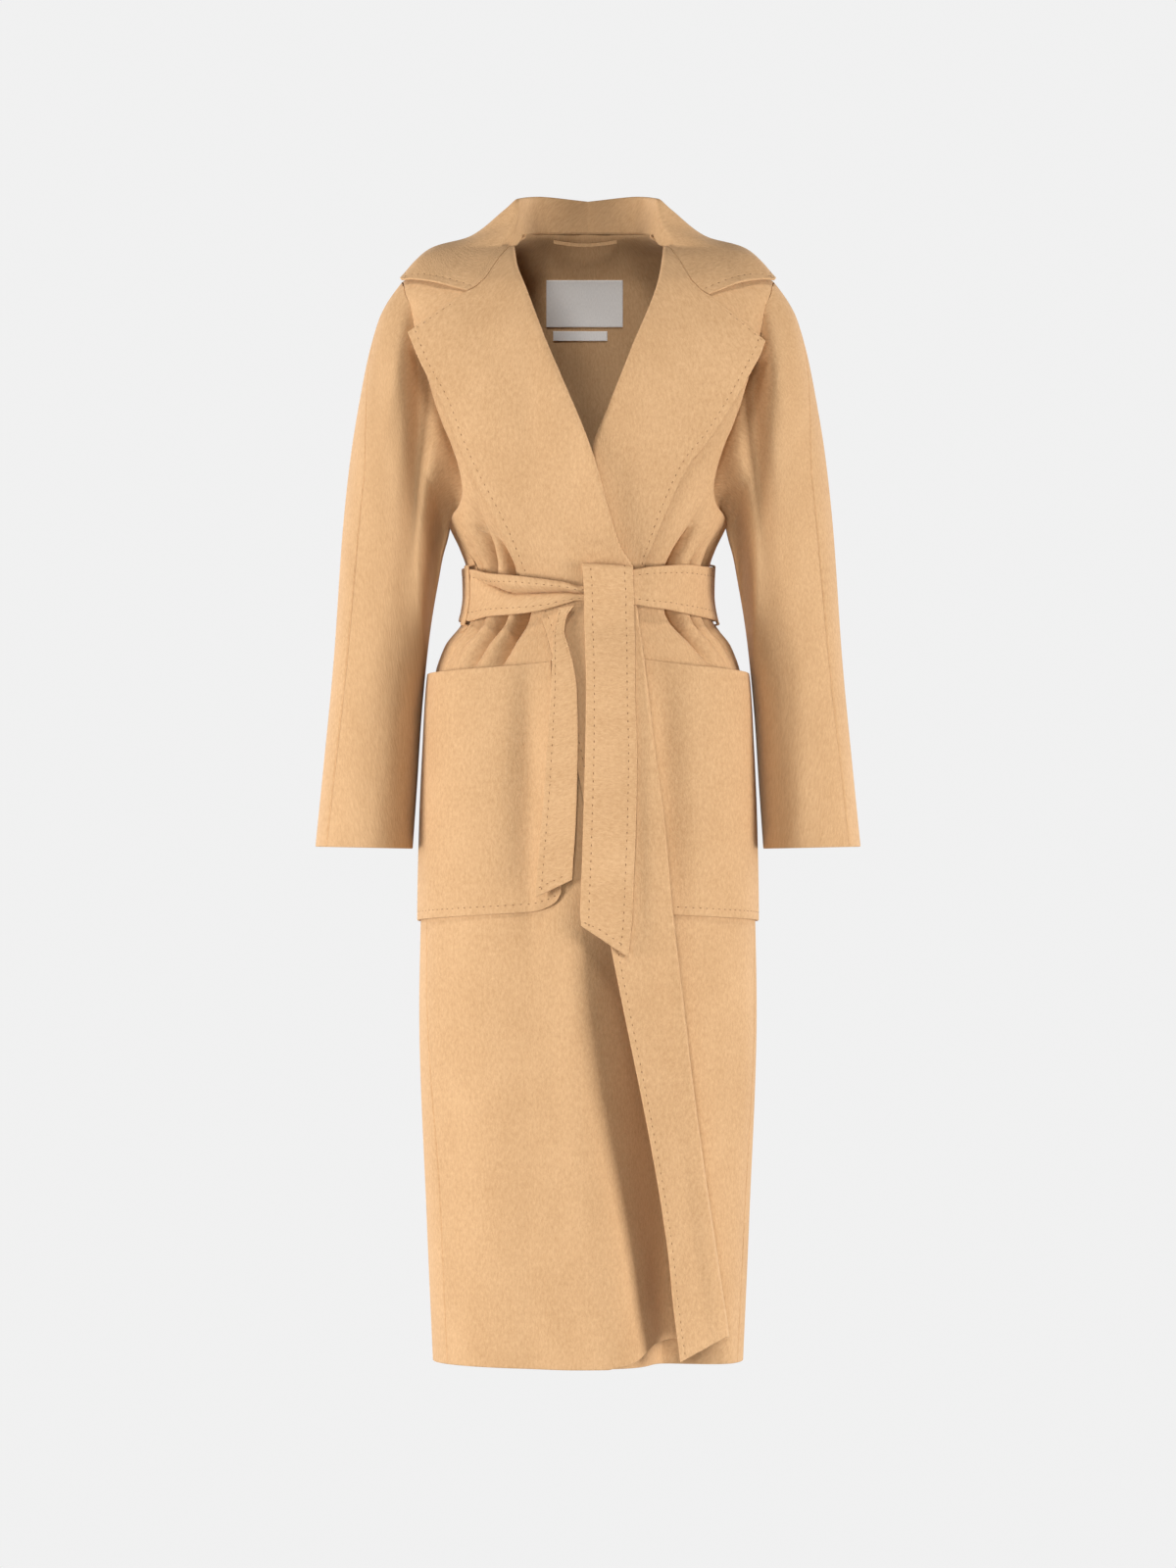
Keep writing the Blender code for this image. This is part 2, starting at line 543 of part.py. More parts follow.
for keeper in KEEPERS:
    share = np.linspace(0, 1, 13)
    columns = [on_body(keeper.angle + offset, KEEPER_PATH.drop(share), KEEPER_PATH.out(share))
               for offset in (-KEEPER_HALF, 0, KEEPER_HALF)]
    sheet(keeper.name, np.array(columns), KEEPER_CLOTH, WOOL)

# Inside the back neck: a hanger loop and two blank labels.

Label = namedtuple("Label", "name left right top bottom")
LABELS = (Label("neck_label", -43, 36, 36, 84), Label("care_label", -36, 20, 88, 98))
LABEL_OUT = -(CLOTH / 2 + SEAM + RIBBON / 2)

for label in LABELS:
    drops = np.linspace(label.top, label.bottom, 5)
    grid = []
    for drop in drops:
        x = np.linspace(label.left, label.right, 7)
        grid.append(on_body(180 - angle_of(x, drop), float(drop), LABEL_OUT - 0.3))
    sheet(label.name, np.array(grid), RIBBON, BLANK_SATIN)

loop_share = np.linspace(0, 1, 11)
loop_x = mix(-37, 31, loop_share)
loop_sag = 3.5 * np.sin(math.pi * loop_share)
loop_grid = []
for height in (-2, 2):
    point = on_body(180 - angle_of(loop_x, -4.0), -4.0 + 0 * loop_x, LABEL_OUT - 1.2)
    point[:, 1] -= 1.5 * loop_sag
    point[:, 2] += loop_sag + height + 1
    loop_grid.append(point)
sheet("hanger_loop", np.array(loop_grid), RIBBON, WOOL)
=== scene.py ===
"""The look of a long camel wrap coat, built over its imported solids.

The tables are in millimetres, as the coat is seen from the front at VIEW_DISTANCE:
x to the wearer's left, drop down from the neck points, y to the back. true_place()
takes the perspective out again.
"""
import math
from collections import namedtuple

import bpy
import numpy as np
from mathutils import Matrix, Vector


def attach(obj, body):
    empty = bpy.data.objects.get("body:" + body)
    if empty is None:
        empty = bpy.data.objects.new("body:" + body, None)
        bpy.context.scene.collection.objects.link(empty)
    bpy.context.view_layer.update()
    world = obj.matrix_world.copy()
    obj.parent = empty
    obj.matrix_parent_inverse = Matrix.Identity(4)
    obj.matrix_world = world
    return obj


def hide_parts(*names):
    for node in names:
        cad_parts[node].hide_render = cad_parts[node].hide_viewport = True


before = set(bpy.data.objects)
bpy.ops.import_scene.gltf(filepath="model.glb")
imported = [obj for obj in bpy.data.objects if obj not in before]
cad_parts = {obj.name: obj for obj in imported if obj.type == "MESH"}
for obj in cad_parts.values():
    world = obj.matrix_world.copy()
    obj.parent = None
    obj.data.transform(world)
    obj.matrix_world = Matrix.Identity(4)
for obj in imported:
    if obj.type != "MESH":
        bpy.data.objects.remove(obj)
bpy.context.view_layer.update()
bpy.ops.object.select_all(action="DESELECT")

# The cloth of the whole coat: double-faced camel wool with a short brushed nap.
# Its fibres lie along the grain and its dye is a little uneven; the nap catches
# the light where the cloth turns away.


class Shade:
    """A socket in a material's nodes. The operators on it add Math nodes."""

    def __init__(self, tree, socket=None):
        self.tree = tree
        self.socket = socket

    def node(self, kind, settings, sockets, output=0):
        """Adds any node: its settings first, then the values or links of its sockets."""
        node = self.tree.nodes.new("ShaderNode" + kind)
        for name, value in settings.items():
            setattr(node, name, value)
        for name, value in sockets.items():
            if isinstance(value, Shade):
                self.tree.links.new(value.socket, node.inputs[name])
            else:
                node.inputs[name].default_value = value
        return Shade(self.tree, node.outputs[output])

    def feed(self, surface, name):
        self.tree.links.new(self.socket, surface.inputs[name])

    def maths(self, operation, first, second):
        return self.node("Math", {"operation": operation}, {0: first, 1: second})

    def __add__(self, other):
        return self.maths("ADD", self, other)

    __radd__ = __add__

    def __mul__(self, other):
        return self.maths("MULTIPLY", self, other)

    __rmul__ = __mul__

    def __sub__(self, other):
        return self.maths("SUBTRACT", self, other)

    def __rsub__(self, other):
        return self.maths("SUBTRACT", other, self)


def wool(name, shadow, light):
    """Brushed wool between two tones; its fibres run along the second axis of the piece's map."""
    material = bpy.data.materials.new(name)
    material.use_nodes = True
    surface = material.node_tree.nodes["Principled BSDF"]
    start = Shade(material.node_tree)
    place = start.node("UVMap", {"uv_map": "cloth"}, {})

    def fibres(width, length, detail):
        lying = start.node("Mapping", {}, {"Vector": place, "Scale": (1 / width, 1 / length, 1)})
        return start.node("TexNoise", {"noise_dimensions": "2D"},
                          {"Vector": lying, "Scale": 1.0, "Detail": detail, "Roughness": 0.6})

    nap = fibres(0.0013, 0.0030, 2.0)
    tufts = fibres(0.0032, 0.0062, 3.0)
    dye = fibres(0.060, 0.090, 2.0)
    tone = nap * 0.55 + tufts * 0.75 + dye * 0.40 - 0.35
    start.node("Mix", {"data_type": "RGBA"}, {0: tone, 6: shadow, 7: light}, 2).feed(surface, "Base Color")
    (0.99 - tufts * 0.16).feed(surface, "Roughness")
    height = nap * 0.5 + tufts
    start.node("Bump", {}, {"Strength": 0.55, "Distance": 0.0008, "Height": height}).feed(surface, "Normal")
    surface.inputs["Specular IOR Level"].default_value = 0.18
    surface.inputs["Sheen Weight"].default_value = 0.10
    surface.inputs["Sheen Roughness"].default_value = 0.45
    surface.inputs["Sheen Tint"].default_value = (1.0, 0.90, 0.76, 1.0)
    return material


CAMEL = wool("camel_wool", (0.43, 0.245, 0.112, 1.0), (0.66, 0.420, 0.228, 1.0))

# The back: one panel of the wool from side seam to side seam, from the neck to the hem.
# It hangs from the shoulders, is drawn in by the belt in soft gathers, and is sewn to
# the fronts at the shoulders and sides.

MM = 0.001
VIEW_DISTANCE = 7500.0
EYE_DROP = 550.0
CLOTH = 2.4
SEAM = 0.3
PLY = CLOTH + SEAM
NECK_DROP = -8.0
HEM_DROP = 1138.0
SHOULDER_DROP = 38.0
UNDERARM_DROP = 286.0


def curve(xs, ys):
    """A smooth curve through a table's points that doesn't overshoot them."""
    xs = np.asarray(xs, float)
    ys = np.asarray(ys, float)
    step = np.diff(xs)
    slope = np.diff(ys) / step
    before = slope[:-1]
    after = slope[1:]
    total = np.where(before * after > 0, before + after, 1.0)
    tangent = np.empty_like(ys)
    tangent[0] = slope[0]
    tangent[-1] = slope[-1]
    tangent[1:-1] = np.where(before * after > 0, 2 * before * after / total, 0.0)

    def at(x):
        x = np.clip(x, xs[0], xs[-1])
        i = np.clip(np.searchsorted(xs, x) - 1, 0, len(step) - 1)
        s = (x - xs[i]) / step[i]
        return ((1 + 2 * s) * (1 - s) ** 2 * ys[i] + s * (1 - s) ** 2 * step[i] * tangent[i]
                + s * s * (3 - 2 * s) * ys[i + 1] + s * s * (s - 1) * step[i] * tangent[i + 1])
    return at


class Table:
    """Rows of named columns; each column is a smooth curve over the first one."""

    def __init__(self, columns, *rows):
        values = np.array(rows, float).T
        for name, column in zip(columns.split()[1:], values[1:]):
            setattr(self, name, curve(values[0], column))


def ease(value):
    value = np.clip(value, 0.0, 1.0)
    return value * value * (3 - 2 * value)


def mix(a, b, share):
    return a + (b - a) * share


def bump(distance, width):
    return np.exp(-(distance / width) ** 2)


def pleat(distance, width):
    """Like bump, but with a sharper bottom."""
    return np.exp(-np.abs(distance / width) ** 1.25)


def true_place(points):
    """Front-view measures to real ones: nearer things look larger."""
    scale = 1 + points[..., 1] / VIEW_DISTANCE
    x = points[..., 0] * scale
    drop = EYE_DROP + (points[..., 2] - EYE_DROP) * scale
    return np.stack((x, points[..., 1], -drop), -1)


def seen_drop(drop, y):
    return EYE_DROP + (drop - EYE_DROP) / (1 + y / VIEW_DISTANCE)


BODY = Table("drop half_width front back",
             (-8, 64, 30, 60), (0, 78, 36, 64), (12, 114, 47, 71), (25, 152, 57, 78),
             (38, 188, 67, 84), (55, 196, 78, 89), (90, 196, 96, 97), (150, 187, 114, 106),
             (200, 170, 121, 109), (250, 152, 115, 108), (286, 141, 106, 104), (312, 129, 99, 101),
             (331, 123, 96, 99), (357, 122, 95, 98), (383, 126, 97, 101), (410, 145, 106, 114),
             (440, 155, 113, 126), (510, 161, 120, 136), (590, 166, 125, 139), (690, 169.5, 127, 140),
             (780, 171, 126, 138), (990, 163.5, 123, 131), (1150, 156.5, 121, 126))
ARM_OPENING = Table("drop angle front_tuck back_tuck",
                    (38, 90, 0, 0), (44, 76, 0, 0), (65, 69, 3, 1), (128, 68.5, 15, 4), (156, 68, 25, 6),
                    (186, 67.5, 33, 9), (201, 66.5, 36, 10), (220, 66, 36, 10), (245, 67, 28, 8),
                    (268, 73, 13, 4), (286, 90, 0, 0))
SIDE_SEAMS = Table("drop right left",
                   (286, -90, 90), (300, -76, 88), (331, -70, 87), (383, -68, 86), (440, -70, 84),
                   (690, -74, 82), (990, -66, 76), (1150, -65, 74))

# The gathers at the belt: angle from centre front, positive to the wearer's left.
Fold = namedtuple("Fold", "angle_at_belt angle_at_end belt_drop end_drop depth width")
FOLDS = (
    Fold(-57, -49, 333, 246, 31, 3.8), Fold(-42, -47, 336, 276, 26, 3.1), Fold(-67, -66, 333, 290, 8, 3.5),
    Fold(46, 54, 330, 258, 34, 3.4), Fold(61, 64, 330, 290, 10, 3.4), Fold(76, 72, 330, 280, 9, 4.2),
    Fold(-34, -40, 376, 462, 38, 3.4), Fold(-48, -55, 380, 460, 32, 3.3), Fold(-62, -63, 382, 430, 11, 3.4),
    Fold(-9, -8, 366, 470, 16, 5.0), Fold(46, 60, 376, 446, 36, 3.4), Fold(62, 69, 378, 438, 14, 3.0),
    Fold(75, 76, 380, 440, 9, 4.2),
    Fold(106, 100, 330, 258, 8, 7.5), Fold(136, 129, 330, 246, 10, 8.0), Fold(166, 160, 330, 240, 9, 8.0),
    Fold(197, 204, 330, 246, 10, 8.0), Fold(228, 236, 330, 250, 9, 8.0), Fold(258, 262, 330, 262, 8, 7.5),
    Fold(110, 104, 382, 470, 9, 7.5), Fold(141, 135, 382, 500, 11, 8.0), Fold(172, 168, 382, 490, 10, 8.0),
    Fold(205, 210, 382, 505, 11, 8.0), Fold(237, 243, 382, 480, 10, 8.0), Fold(264, 266, 382, 460, 8, 7.5),
)
FOLD_REACH = 40.0

# Smaller creases of the hanging cloth: troughs, or ridges where the depth is negative.
Crease = namedtuple("Crease", "angle1 drop1 angle2 drop2 depth width")
CREASES = (
    Crease(150, 120, 118, 300, 2.2, 16), Crease(210, 118, 240, 302, 2.0, 15),
    Crease(180, 60, 178, 230, 1.2, 22), Crease(128, 150, 108, 250, -1.6, 14),
    Crease(234, 140, 250, 262, -1.8, 13), Crease(164, 470, 158, 900, 2.4, 26),
    Crease(198, 480, 206, 940, 2.8, 30), Crease(226, 500, 236, 1040, -2.4, 28),
    Crease(132, 500, 122, 1010, -2.2, 28), Crease(180, 620, 182, 1090, -2.0, 24),
    Crease(110, 560, 104, 900, 1.8, 20), Crease(250, 540, 258, 880, 1.8, 20),
    Crease(-62, 176, -74, 300, -4.5, 8), Crease(62, 170, 74, 300, -5.0, 8),
    Crease(-21.5, 402, -20, 780, 6.0, 15), Crease(28, 402, 31, 800, 6.0, 14),
    Crease(-58, 720, -52, 1080, 1.6, 26), Crease(-30, 760, -24, 1100, -1.4, 22),
    Crease(62, 740, 58, 1060, 1.5, 20),
)
CREASE_BEGINS = 0.3      # shares of a crease's length over which it deepens and runs out
CREASE_RUNS_OUT = 0.4
BODY_ROUND = 0.85        # the body's mean radius, as a share of its half width
ARM_TUCK_WIDTH = 15.0
MM_PER_DEGREE = 2.4      # round the body beside the arm openings
LEVEL_FROM = 900.0       # below this drop the rows turn level


def on_body(angle, drop, out=0.0):
    """A point `out` millimetres outside the body's middle surface."""
    turn = np.radians(angle)
    depth = np.where(np.cos(turn) > 0, BODY.front(drop), BODY.back(drop)) + out
    x = (BODY.half_width(drop) + out) * np.sin(turn)
    return np.stack(np.broadcast_arrays(x, -depth * np.cos(turn), drop + 0.0 * x), -1)


def angle_of(x, drop, out=0.0):
    return np.degrees(np.arcsin(np.clip(x / (BODY.half_width(drop) + out), -1, 1)))


def on_front(x, drop, out):
    return on_body(angle_of(x, drop, out), drop, out)


def x_of(angle, drop):
    return BODY.half_width(drop) * np.sin(np.radians(angle))


def waist_folds(angle, drop):
    around = np.mod(angle + 90.0, 360.0) - 90.0
    depth = 0.0 * (angle + drop)
    for fold in FOLDS:
        length = fold.end_drop - fold.belt_drop
        run = (drop - fold.belt_drop) / length
        strength = np.where(run > 0, ease(1 - run), ease(1 + run * abs(length) / FOLD_REACH))
        middle = mix(fold.angle_at_belt, fold.angle_at_end, np.clip(run, 0, 1))
        depth = depth + fold.depth * strength * pleat(around - middle, fold.width)
    return depth


def creases(angle, drop):
    """Depth of the small creases; widths are millimetres round the body."""
    around = np.mod(angle + 90.0, 360.0) - 90.0
    depth = 0.0 * (angle + drop)
    for crease in CREASES:
        run = (drop - crease.drop1) / (crease.drop2 - crease.drop1)
        strength = ease(run / CREASE_BEGINS) * ease((1 - run) / CREASE_RUNS_OUT)
        along = np.clip(run, 0, 1)
        middle = mix(crease.angle1, crease.angle2, along)
        beside = np.radians(around - middle) * BODY_ROUND * BODY.half_width(drop)
        width = crease.width * (0.8 + 0.5 * along)
        depth = depth + crease.depth * strength * bump(beside, width)
    return depth


def arm_tuck(angle, drop):
    """How far the cloth turns in beside the arm openings."""
    around = np.abs(np.mod(angle + 180.0, 360.0) - 180.0)
    front = around < 90
    beside = np.where(front, ARM_OPENING.angle(drop) - around, around - 180 + ARM_OPENING.angle(drop))
    depth = np.where(front, ARM_OPENING.front_tuck(drop), ARM_OPENING.back_tuck(drop))
    inside = (drop > SHOULDER_DROP) & (drop < UNDERARM_DROP)
    return np.where(inside, depth * bump(beside * MM_PER_DEGREE, ARM_TUCK_WIDTH), 0.0)


def body_cloth(angle, drop, out=0.0):
    return on_body(angle, drop, out - waist_folds(angle, drop) - arm_tuck(angle, drop) - creases(angle, drop))


def side_limit(drop, seam):
    """The angle at which a panel ends: shoulder seam, arm opening, then side seam."""
    if drop < SHOULDER_DROP:
        return 90.0
    return float(ARM_OPENING.angle(drop)) if drop < UNDERARM_DROP else abs(float(seam(drop)))


def seam_angle(angle, drop):
    """Half a seam's gap, as an angle."""
    turn = np.radians(angle)
    reach = np.hypot(BODY.half_width(drop) * np.cos(turn), BODY.front(drop) * np.sin(turn))
    return np.degrees(SEAM / 2 / np.maximum(reach, 20.0))


def level(points, drop):
    """Lets the rows near the hem follow the level hem of the real coat."""
    share = ease((drop - LEVEL_FROM) / (HEM_DROP - LEVEL_FROM))
    points[:, 2] += share * (seen_drop(HEM_DROP, points[:, 1]) - HEM_DROP)
    return points


# How a cloth piece ends: the distances of its lines of points from the edge.
STITCH_IN = 8.4          # the hand stitching's own distance
FINISHED = (0, 0.12, 0.4, 0.8, 1.25, 2.6)
STITCHED = FINISHED + (5.6, 7.0, 7.8, STITCH_IN, 9.0, 9.8, 11.2)
SEWN = (0, 0.3, 0.8, 1.5, 2.4, 3.2, 4.4)


def lines_by_edge(grid, marks, ending):
    """Puts lines of points at the ending's distances from the grid's first column."""
    steps = np.linalg.norm(np.diff(grid[..., :3], axis=1), axis=2)
    run = np.concatenate((np.zeros((len(grid), 1)), np.cumsum(steps, axis=1)), axis=1)
    reach = ending[-1] * 1.15
    kept = int(np.searchsorted(np.median(run, axis=0), reach))
    shrink = np.minimum(1, run[:, kept] / reach)
    near = [[np.interp(np.multiply(ending, small), places, row[:, k]) for k in range(grid.shape[2])]
            for row, places, small in zip(grid, run, shrink)]
    near_marks = np.stack((ending, np.full(len(ending), float(ending is SEWN))))
    grid = np.concatenate((np.array(near).transpose(0, 2, 1), grid[:, kept:]), axis=1)
    return grid, np.concatenate((near_marks, marks[:, kept:]), axis=1)


GRAIN_RADIUS = 150.0     # round the body, for the grain of upright pieces
SEAM_SINK = 1.7          # a seam's edge sinks over this distance
SEAM_RIDGE = 2.4         # and the cloth swells a little here beside it
Sheet = namedtuple("Sheet", "place normal half rows columns extra")


def cloth(name, grid, thickness, material, stands_for, edges, keep=None, across=False, ready=None,
          upright=False):
    """A cloth piece: the middle surface's points given both faces and rounded edges.

    edges says how each side of the grid ends: FINISHED, STITCHED, SEWN or left out.
    ready gives the distances from an edge of rows or columns that already lie along it.
    Points may hold more values after x, y and drop, which `keep` reads.
    The grain of an upright piece runs down the coat, however it is gathered.
    """
    grid = np.concatenate((true_place(grid[..., :3]), grid[..., 3:]), axis=-1)
    marks = {kind: np.stack((np.full(count, 1e3), np.zeros(count)))
             for kind, count in zip(("rows", "columns"), grid.shape[:2])}
    for kind, distances in (ready or {}).items():
        marks[kind][0] = distances
    for side, ending in edges.items():
        kind = "rows" if side in ("top", "bottom") else "columns"
        way = -1 if side in ("last", "bottom") else 1
        turned = grid.transpose(1, 0, 2) if kind == "rows" else grid
        turned, lines = lines_by_edge(turned[:, ::way], marks[kind][:, ::way], ending)
        turned = turned[:, ::way]
        marks[kind] = lines[:, ::way]
        grid = turned.transpose(1, 0, 2) if kind == "rows" else turned
    rows, columns = grid.shape[:2]

    def wall(lines):
        """Half the wall at each line: round at an edge, thinner along stitching."""
        distance, sewn = lines
        round_edge = np.sqrt(np.clip(1 - (1 - np.clip(distance / (thickness / 2), 0, 1)) ** 2, 0.01, 1))
        groove = 0.16 * bump(distance - STITCH_IN, 1.0)
        seam = 0.06 + 0.94 * ease(distance / SEAM_SINK) + 0.26 * bump(distance - SEAM_RIDGE, 0.9)
        return np.where(sewn == 1, seam, round_edge - groove)

    half = thickness / 2 * np.minimum(wall(marks["rows"])[:, None], wall(marks["columns"])[None, :])
    place = grid[..., :3]
    normal = np.cross(np.gradient(place, axis=1), np.gradient(place, axis=0))
    normal /= np.maximum(np.linalg.norm(normal, axis=2, keepdims=True), 1e-9)
    outer = (place + normal * half[..., None]).reshape(-1, 3)
    inner = (place - normal * half[..., None]).reshape(-1, 3)

    number = np.arange(rows * columns).reshape(rows, columns)
    quads = np.stack((number[:-1, :-1], number[:-1, 1:], number[1:, 1:], number[1:, :-1]), -1)
    if keep is not None:
        corner = grid[..., 3:]
        centre = (corner[:-1, :-1] + corner[:-1, 1:] + corner[1:, 1:] + corner[1:, :-1]) / 4
        quads = quads[keep(centre)]
    quads = quads.reshape(-1, 4)
    count = rows * columns
    edge = np.stack((quads, np.roll(quads, -1, axis=1)), -1).reshape(-1, 2)
    free = ~np.isin(edge[:, 0] * count + edge[:, 1], edge[:, 1] * count + edge[:, 0])
    rim = np.stack((edge[free, 1], edge[free, 0], edge[free, 0] + count, edge[free, 1] + count), -1)
    faces = np.concatenate((quads, quads[:, ::-1] + count, rim))
    used, faces = np.unique(faces, return_inverse=True)
    faces = faces.reshape(-1, 4)

    mesh = bpy.data.meshes.new(name)
    mesh.from_pydata((np.concatenate((outer, inner))[used] * MM).tolist(), [], faces.tolist())
    steps = np.linalg.norm(np.diff(place, axis=1), axis=2)
    run_across = np.concatenate((np.zeros((rows, 1)), np.cumsum(steps, axis=1)), axis=1)
    steps = np.linalg.norm(np.diff(place, axis=0), axis=2)
    run_down = np.concatenate((np.zeros((1, columns)), np.cumsum(steps, axis=0)), axis=0)
    if upright:
        run_across = np.unwrap(np.arctan2(place[..., 0], -place[..., 1]), axis=1) * GRAIN_RADIUS
        run_down = -place[..., 2]
    chart = np.stack((run_down, run_across) if across else (run_across, run_down), -1).reshape(-1, 2) * MM
    chart = np.concatenate((chart, chart))[used]
    layer = mesh.uv_layers.new(name="cloth")
    layer.data.foreach_set("uv", chart[faces.reshape(-1)].reshape(-1))
    mesh.materials.append(material)
    piece = bpy.data.objects.new(name, mesh)
    bpy.context.scene.collection.objects.link(piece)
    bpy.ops.object.select_all(action="DESELECT")
    piece.select_set(True)
    bpy.context.view_layer.objects.active = piece
    bpy.ops.object.shade_smooth_by_angle(angle=math.radians(60))
    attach(piece, "root")
    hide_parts(*stands_for["nodes"])
    return Sheet(place, normal, half, marks["rows"][0], marks["columns"][0], grid[..., 3:])


def cut(nodes, flat, area, held, rests_on, slot="camel_wool"):
    """What a piece stands for, and the flat size it was cut to, in metres."""
    nodes = (nodes,) if isinstance(nodes, str) else nodes
    return {"nodes": nodes, "flat": flat, "area": area, "held": held, "rests_on": rests_on, "slot": slot}


GATHERS_END_DROP = 470
NECK_TURN_IN = 2.4       # the back's top edge goes on up into the collar's seam
NECK_ROWS = np.linspace(NECK_DROP - NECK_TURN_IN, SHOULDER_DROP, 19)[:-1]
ARM_ROWS = np.linspace(SHOULDER_DROP, UNDERARM_DROP, 64)
WAIST_ROWS = np.linspace(UNDERARM_DROP, GATHERS_END_DROP, 64)[1:]
SKIRT_ROWS = np.linspace(GATHERS_END_DROP, HEM_DROP, 80)[1:]
BACK_SHARES = np.linspace(0, 1, 150)

grid = []
for drop in np.concatenate((NECK_ROWS, ARM_ROWS, WAIST_ROWS, SKIRT_ROWS)):
    ends = []
    for seam in (SIDE_SEAMS.left, SIDE_SEAMS.right):
        limit = side_limit(drop, seam)
        ends.append((limit if drop >= UNDERARM_DROP else 180 - limit) + seam_angle(limit, drop))
    points = body_cloth(mix(ends[0], 360 - ends[1], BACK_SHARES), max(float(drop), NECK_DROP))
    points[:, 2] += min(float(drop) - NECK_DROP, 0)
    grid.append(level(points, drop))
cloth("back_panel", np.array(grid), CLOTH, CAMEL,
      cut(("back_left", "back_right"), (0.72, 1.19), 0.60, "hung", ["collar_piece"]),
      {"first": SEWN, "last": SEWN, "bottom": FINISHED}, upright=True)

# The two fronts: each is cut in one with its lapel, which turns back along a soft roll.
# The wearer's right front lies over the left one, and its edge stays turned out down
# to the hem. Free edges are turned in and closed by hand stitching.

RIGHT_ROLL = Table("drop x", (2, -76), (19, -73.5), (44, -64), (89, -47), (210, 3), (310, 33), (328, 44),
                   (367, 48.6), (426, 56.7), (518, 68), (591, 78), (676, 86), (748, 94), (1030, 129),
                   (1119, 142), (1150, 145))
RIGHT_EDGE = Table("drop x", (89, -184), (120, -171), (165, -147), (194, -136), (226, -122), (289, -90),
                   (336, -70), (380, -48), (412, -38), (720, 24), (1030, 82), (1081, 87), (1140, 94.5))
RIGHT_EDGE_DROP = Table("drop edge_drop", (2, 89), (60, 121), (130, 176), (210, 242), (310, 324), (367, 377),
                        (426, 434), (676, 684), (1030, 1036), (1138, 1140))
LEFT_ROLL = Table("drop x", (2, 78), (30, 74), (106, 45), (164, 22), (206, 6), (250, 2), (300, 14), (340, 33),
                  (372, 43))
LEFT_EDGE = Table("drop x", (98, 181), (112, 176), (123, 170), (155, 152), (193, 128), (225, 103), (310, 64),
                  (325, 58), (374, 54))
LEFT_EDGE_DROP = Table("drop edge_drop", (2, 98), (60, 127), (130, 184), (210, 248), (310, 322), (372, 374))
LEFT_LOWER_EDGE = Table("drop x", (372, 43), (420, 30), (600, 12), (1150, 8))
LEFT_BREAK_DROP = 372.0
LAPEL_TOP_DROP = 2.0
LAYERS = Table("drop roll rise stand",
               (0, 3.6, 11, 12), (60, 3.6, 11, 8), (160, 3.6, 11, 3), (290, 3.6, 11, 5), (325, 1.9, 8, 0),
               (357, 1.9, 7.4, 0), (390, 1.9, 8, 0), (430, 3.4, 10, 1.5), (700, 3.6, 10, 2), (1150, 4, 10, 3))
HOLLOW = Table("drop depth left right",
               (655, 0, 44, 22), (760, 35, 62, 23), (880, 50, 70, 24), (1000, 55, 64, 25), (1150, 56, 54, 26))
HEM_LIFT = Table("x lift", (20, 0), (40, 4), (54, 9), (68, 17), (81, 22), (92, 23), (142, 28))
HOLLOW_BESIDE = 22       # the trough's middle, from the turned-back edge
HOLLOW_PAST_ROLL = 6
HOLLOW_FADE = 24
HEM_LIFT_FROM = 700
RISE_START_X = -66       # where the upper front begins to lie on the lower one
RISE_WIDTH = 52
GORGE_DIP = Table("share dip", (0, 0), (0.07, 1.5), (0.16, 6), (0.25, 12), (0.33, 12), (0.44, 8), (0.68, 4),
                  (1, 0))
GORGE_DIP_END = 40       # the dip of a lapel's top edge is gone at this drop
LAPEL_ROWS = np.linspace(LAPEL_TOP_DROP, SHOULDER_DROP, 14)[:-1]
FRONT_ROWS = np.concatenate((LAPEL_ROWS, ARM_ROWS, WAIST_ROWS, SKIRT_ROWS))
FRONT_SHARES = np.linspace(0, 1, 112)
ROLL_TURNS = np.linspace(0, math.pi, 14)[1:-1]
LAPEL_SHARES = np.concatenate((np.linspace(0, 0.3, 13), np.linspace(0.3, 1, 24)[1:]))


def rise(x, drop):
    """The upper front rises where the lower front lies under it."""
    return LAYERS.rise(drop) * ease((x - RISE_START_X) / RISE_WIDTH)


def hollow(x, drop):
    """The long trough beside the turned-back edge of the skirt."""
    beside = x - RIGHT_EDGE.x(drop) - HOLLOW_BESIDE
    width = np.where(beside < 0, HOLLOW.left(drop), HOLLOW.right(drop))
    before_fold = ease((RIGHT_ROLL.x(drop) + HOLLOW_PAST_ROLL - x) / HOLLOW_FADE)
    return HOLLOW.depth(drop) * bump(beside, width) * before_fold


def hem_lift(x, drop):
    share = np.clip((drop - HEM_LIFT_FROM) / (HEM_DROP - HEM_LIFT_FROM), 0, 1)
    return HEM_LIFT.lift(x) * share ** 2


def right_front(angle, drop, out=0.0):
    x = x_of(angle, drop)
    point = body_cloth(angle, drop, out + rise(x, drop) - hollow(x, drop))
    point[..., 2] -= hem_lift(x, drop)
    return point


def left_front(angle, drop, out=0.0):
    return body_cloth(angle, drop, out - hollow(x_of(angle, drop), drop))


def lapel_out(share, drop):
    """How far a lapel's middle stands off its front, from roll to free edge."""
    flat = mix(2 * LAYERS.roll(drop), PLY + 0.6, ease(share / 0.45))
    return flat + LAYERS.stand(drop) * share ** 3


def gorge_dip(share, drop):
    """The dip of the lapels' top edges, which fades out down the lapel."""
    return GORGE_DIP.dip(share) * ease((GORGE_DIP_END - drop) / (GORGE_DIP_END - LAPEL_TOP_DROP))


